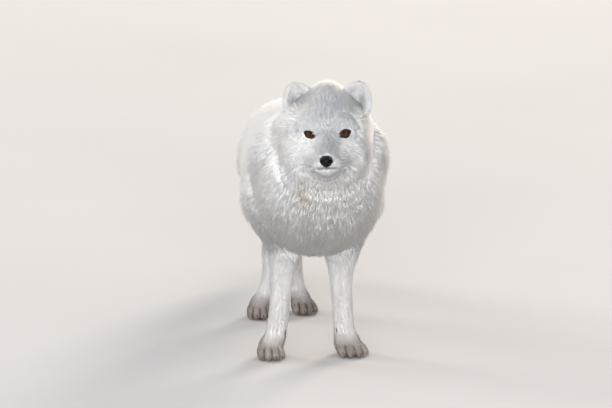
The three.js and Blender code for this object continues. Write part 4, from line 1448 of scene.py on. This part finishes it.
def hair_tube(path, radius):
    """A closed three-sided tapered hair along a path."""
    path = np.array(path)
    rows = []
    for n, at in enumerate(path[:-1]):
        way = path[n + 1] - at
        way = way / np.linalg.norm(way)
        side = np.cross(way, (0, 0, 1.0))
        side = side / np.linalg.norm(side)
        up = np.cross(side, way)
        r = radius * (1 - n / (len(path) - 1)) ** 0.7
        rows.append(np.array([at + r * (math.cos(t) * side + math.sin(t) * up) for t in HAIR_CORNERS]))
    points, faces = ringed(rows)
    tip = len(points)
    last = tip - 3
    faces += [(0, 1, 2)] + [(last + i, last + (i + 1) % 3, tip) for i in range(3)]
    return np.concatenate([points, path[-1:]]), faces


WHISKER_DARK = (0.45, 0.44, 0.43)
WHISKER_PALE = (0.75, 0.74, 0.72)
WHISKER_ROWS = 4
WHISKERS_IN_ROW = 5
WHISKER_RADIUS = 0.22
WHISKER_BENDS = 6
WHISKER_FRONT = -50  # the foremost whisker of a row, in the head's own frame
WHISKER_APART = 6
WHISKER_TOP = -27
WHISKER_ROW_DROP = 3.2


def whisker_root(s, y, z):
    """Where a line outwards from the middle of the muzzle comes to the skin."""
    root = np.array((s * 2.0, y, z))
    for _ in range(30):
        if OUTLINE(from_head(root[None]), COMBED)[0] > -0.4:
            break
        root[0] += s * 0.6
    return root


def whisker_path(random, s, row, n, length):
    """One whisker, in the head's own frame, that bends back and down."""
    y = WHISKER_FRONT + WHISKER_APART * n + random.uniform(-1, 1)
    z = WHISKER_TOP - WHISKER_ROW_DROP * row + random.uniform(-0.6, 0.6)
    path = [whisker_root(s, y, z)]
    size = length * random.uniform(0.55, 1.0) * (0.55 + 0.11 * n)
    way = np.array((s * 1.0, 0.55 + 0.1 * n, 0.12 - 0.16 * row + random.uniform(-0.1, 0.1)))
    for _ in range(WHISKER_BENDS):
        way = way / np.linalg.norm(way) + np.array((0, 0.10, -0.07))
        path.append(path[-1] + way / np.linalg.norm(way) * size / WHISKER_BENDS)
    return np.array(path)


class FOX_OT_whiskers(bpy.types.Operator):
    """Make the whiskers on the lips"""
    bl_idname = "fox.whiskers"
    bl_label = "Whiskers"

    def execute(self, context):
        random = np.random.default_rng(5)
        length = context.scene.fox_head.whisker_length / MM
        points, faces = np.zeros((0, 3)), []
        for s, row, n in product(SIDES.values(), range(WHISKER_ROWS), range(WHISKERS_IN_ROW)):
            more, quads = hair_tube(from_head(whisker_path(random, s, row, n, length)), WHISKER_RADIUS)
            faces += [tuple(i + len(points) for i in face) for face in quads]
            points = np.concatenate([points, more])
        made = mesh_object("whiskers", points, faces)
        outward(made)
        material, shader, start = new_material("whisker_hair", Roughness=0.4)
        tone = object_noise(start, 120.0, 1.0)
        feed(shader, "Base Color", tone.band(0.4, 0.6).blend(WHISKER_DARK, WHISKER_PALE))
        made.data.materials.append(material)
        finished(made, "face_coat")
        return {"FINISHED"}


# ------------------------------------------------------------------ claws
class FOX_OT_claws(bpy.types.Operator):
    """Give the claws their horn"""
    bl_idname = "fox.claws"
    bl_label = "Claws"

    def execute(self, context):
        horn = context.scene.fox_head.horn
        material, shader, start = new_material("claw_horn", Roughness=0.4, Coat_Weight=0.15)
        at = start.put("ShaderNodeTexCoord", output="Object")
        grain = noise(start.vector("MULTIPLY", at, (1.0, 0.25, 1.0)), 900.0, 3.0)
        feed(shader, "Base Color", grain.band(0.35, 0.7).blend(tuple(horn), HORN_PALE))
        feed(shader, "Roughness", 0.32 + 0.25 * grain)
        feed(shader, "Normal", bump(start, grain, 0.3, 0.0002))
        for name, node in frame["nodes"].items():
            if name.startswith("claw_"):
                node.data.materials.clear()
                node.data.materials.append(material)
        return {"FINISHED"}


# ------------------------------------------------------------------ stage
LIT_AT = Vector((0, 0, 0.2))
SIDE_SHARE = 0.35  # the side light's power, as a share of the back light's
STUDIO_COLOR = (0.985, 0.985, 1.0, 1)
STUDIO_STRENGTH = 0.95
FLOOR_SIZE = 24
FOCAL_LENGTH = 300
SENSOR_WIDTH = 36
FRAMED_AT = Vector((20.73, 160.96, 170))  # the picture's middle, in the drafting frame


def area_light(name, at, size, power, color):
    lamp = bpy.data.lights.new(name, "AREA")
    lamp.shape = "DISK"
    lamp.size = size
    lamp.energy = power
    lamp.color = color
    made = bpy.data.objects.new(name, lamp)
    made.location = at
    made.rotation_euler = (LIT_AT - Vector(at)).to_track_quat("-Z", "Y").to_euler()
    bpy.context.scene.collection.objects.link(made)


class FOX_OT_stage(bpy.types.Operator):
    """Set the floor, the light and the camera"""
    bl_idname = "fox.stage"
    bl_label = "Stage"

    def execute(self, context):
        stage = context.scene.fox_stage
        bpy.ops.mesh.primitive_plane_add(size=FLOOR_SIZE, location=(0, 0, 0))
        floor = context.object
        floor.name = "floor"
        material, shader, start = new_material("floor", Roughness=0.9, Specular_IOR_Level=0.1)
        tone = object_noise(start, 1.2, 2.0)
        pale = tuple(stage.floor)
        feed(shader, "Base Color", tone.band(0.3, 0.7).blend(pale, tuple(0.97 * c for c in pale)))
        floor.data.materials.append(material)
        floor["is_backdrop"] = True
        area_light("back_light", (8.0, 11.0, 5.0), 5.0, stage.key_power, (1.0, 0.88, 0.72))
        area_light("side_light", (-9.0, 8.0, 4.5), 5.0, stage.key_power * SIDE_SHARE, (1.0, 0.95, 0.90))
        area_light("fill_light", (-1.4, -6.5, 0.8), 4.0, stage.fill_power, (0.99, 0.995, 1.0))
        world = bpy.data.worlds.new("studio")
        world.use_nodes = True
        backdrop = world.node_tree.nodes["Background"]
        backdrop.inputs["Color"].default_value = STUDIO_COLOR
        backdrop.inputs["Strength"].default_value = STUDIO_STRENGTH
        context.scene.world = world
        context.scene.view_settings.view_transform = "Standard"
        lens = bpy.data.cameras.new("camera")
        lens.lens = FOCAL_LENGTH
        lens.sensor_width = SENSOR_WIDTH
        lens.clip_end = 60
        camera = bpy.data.objects.new("camera", lens)
        a, e = stage.azimuth, stage.elevation
        back = Vector((math.sin(a) * math.cos(e), -math.cos(a) * math.cos(e), math.sin(e)))
        target = (FRAMED_AT + ORIGIN) * MM
        camera.location = target + back * stage.distance
        camera.rotation_euler = (-back).to_track_quat("-Z", "Y").to_euler()
        context.scene.collection.objects.link(camera)
        context.scene.camera = camera
        return {"FINISHED"}


class FOX_PT_sidebar(bpy.types.Panel):
    """Lists the fox's pieces in the sidebar"""
    bl_idname = "FOX_PT_sidebar"
    bl_label = "Arctic fox"
    bl_space_type = "VIEW_3D"
    bl_region_type = "UI"
    bl_category = "Fox"

    def draw(self, context):
        for group in (context.scene.fox_coat, context.scene.fox_head, context.scene.fox_stage):
            box = self.layout.box()
            for name in group.__annotations__:
                box.prop(group, name)
        for operator in OPERATORS:
            self.layout.operator(operator.bl_idname)


OPERATORS = (FOX_OT_skin, FOX_OT_coat, FOX_OT_eyes, FOX_OT_nose, FOX_OT_whiskers, FOX_OT_claws, FOX_OT_stage)
GROUPS = {"fox_coat": FoxCoat, "fox_head": FoxHead, "fox_stage": FoxStage}


def register():
    for each in (*GROUPS.values(), *OPERATORS, FOX_PT_sidebar):
        bpy.utils.register_class(each)
    for name, group in GROUPS.items():
        setattr(bpy.types.Scene, name, PointerProperty(type=group))


def unregister():
    for name in GROUPS:
        delattr(bpy.types.Scene, name)
    for each in (FOX_PT_sidebar, *reversed(OPERATORS), *GROUPS.values()):
        bpy.utils.unregister_class(each)


def main():
    register()
    bpy.ops.fox.skin()
    bpy.ops.fox.coat()
    bpy.ops.fox.eyes()
    bpy.ops.fox.nose()
    bpy.ops.fox.whiskers()
    bpy.ops.fox.claws()
    bpy.ops.fox.stage()
    boxes = {"cad": CAD_BOX, "visual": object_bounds()}
    sizes = {name: [list(corner) for corner in box] for name, box in boxes.items()}


if __name__ == "__main__":
    main()
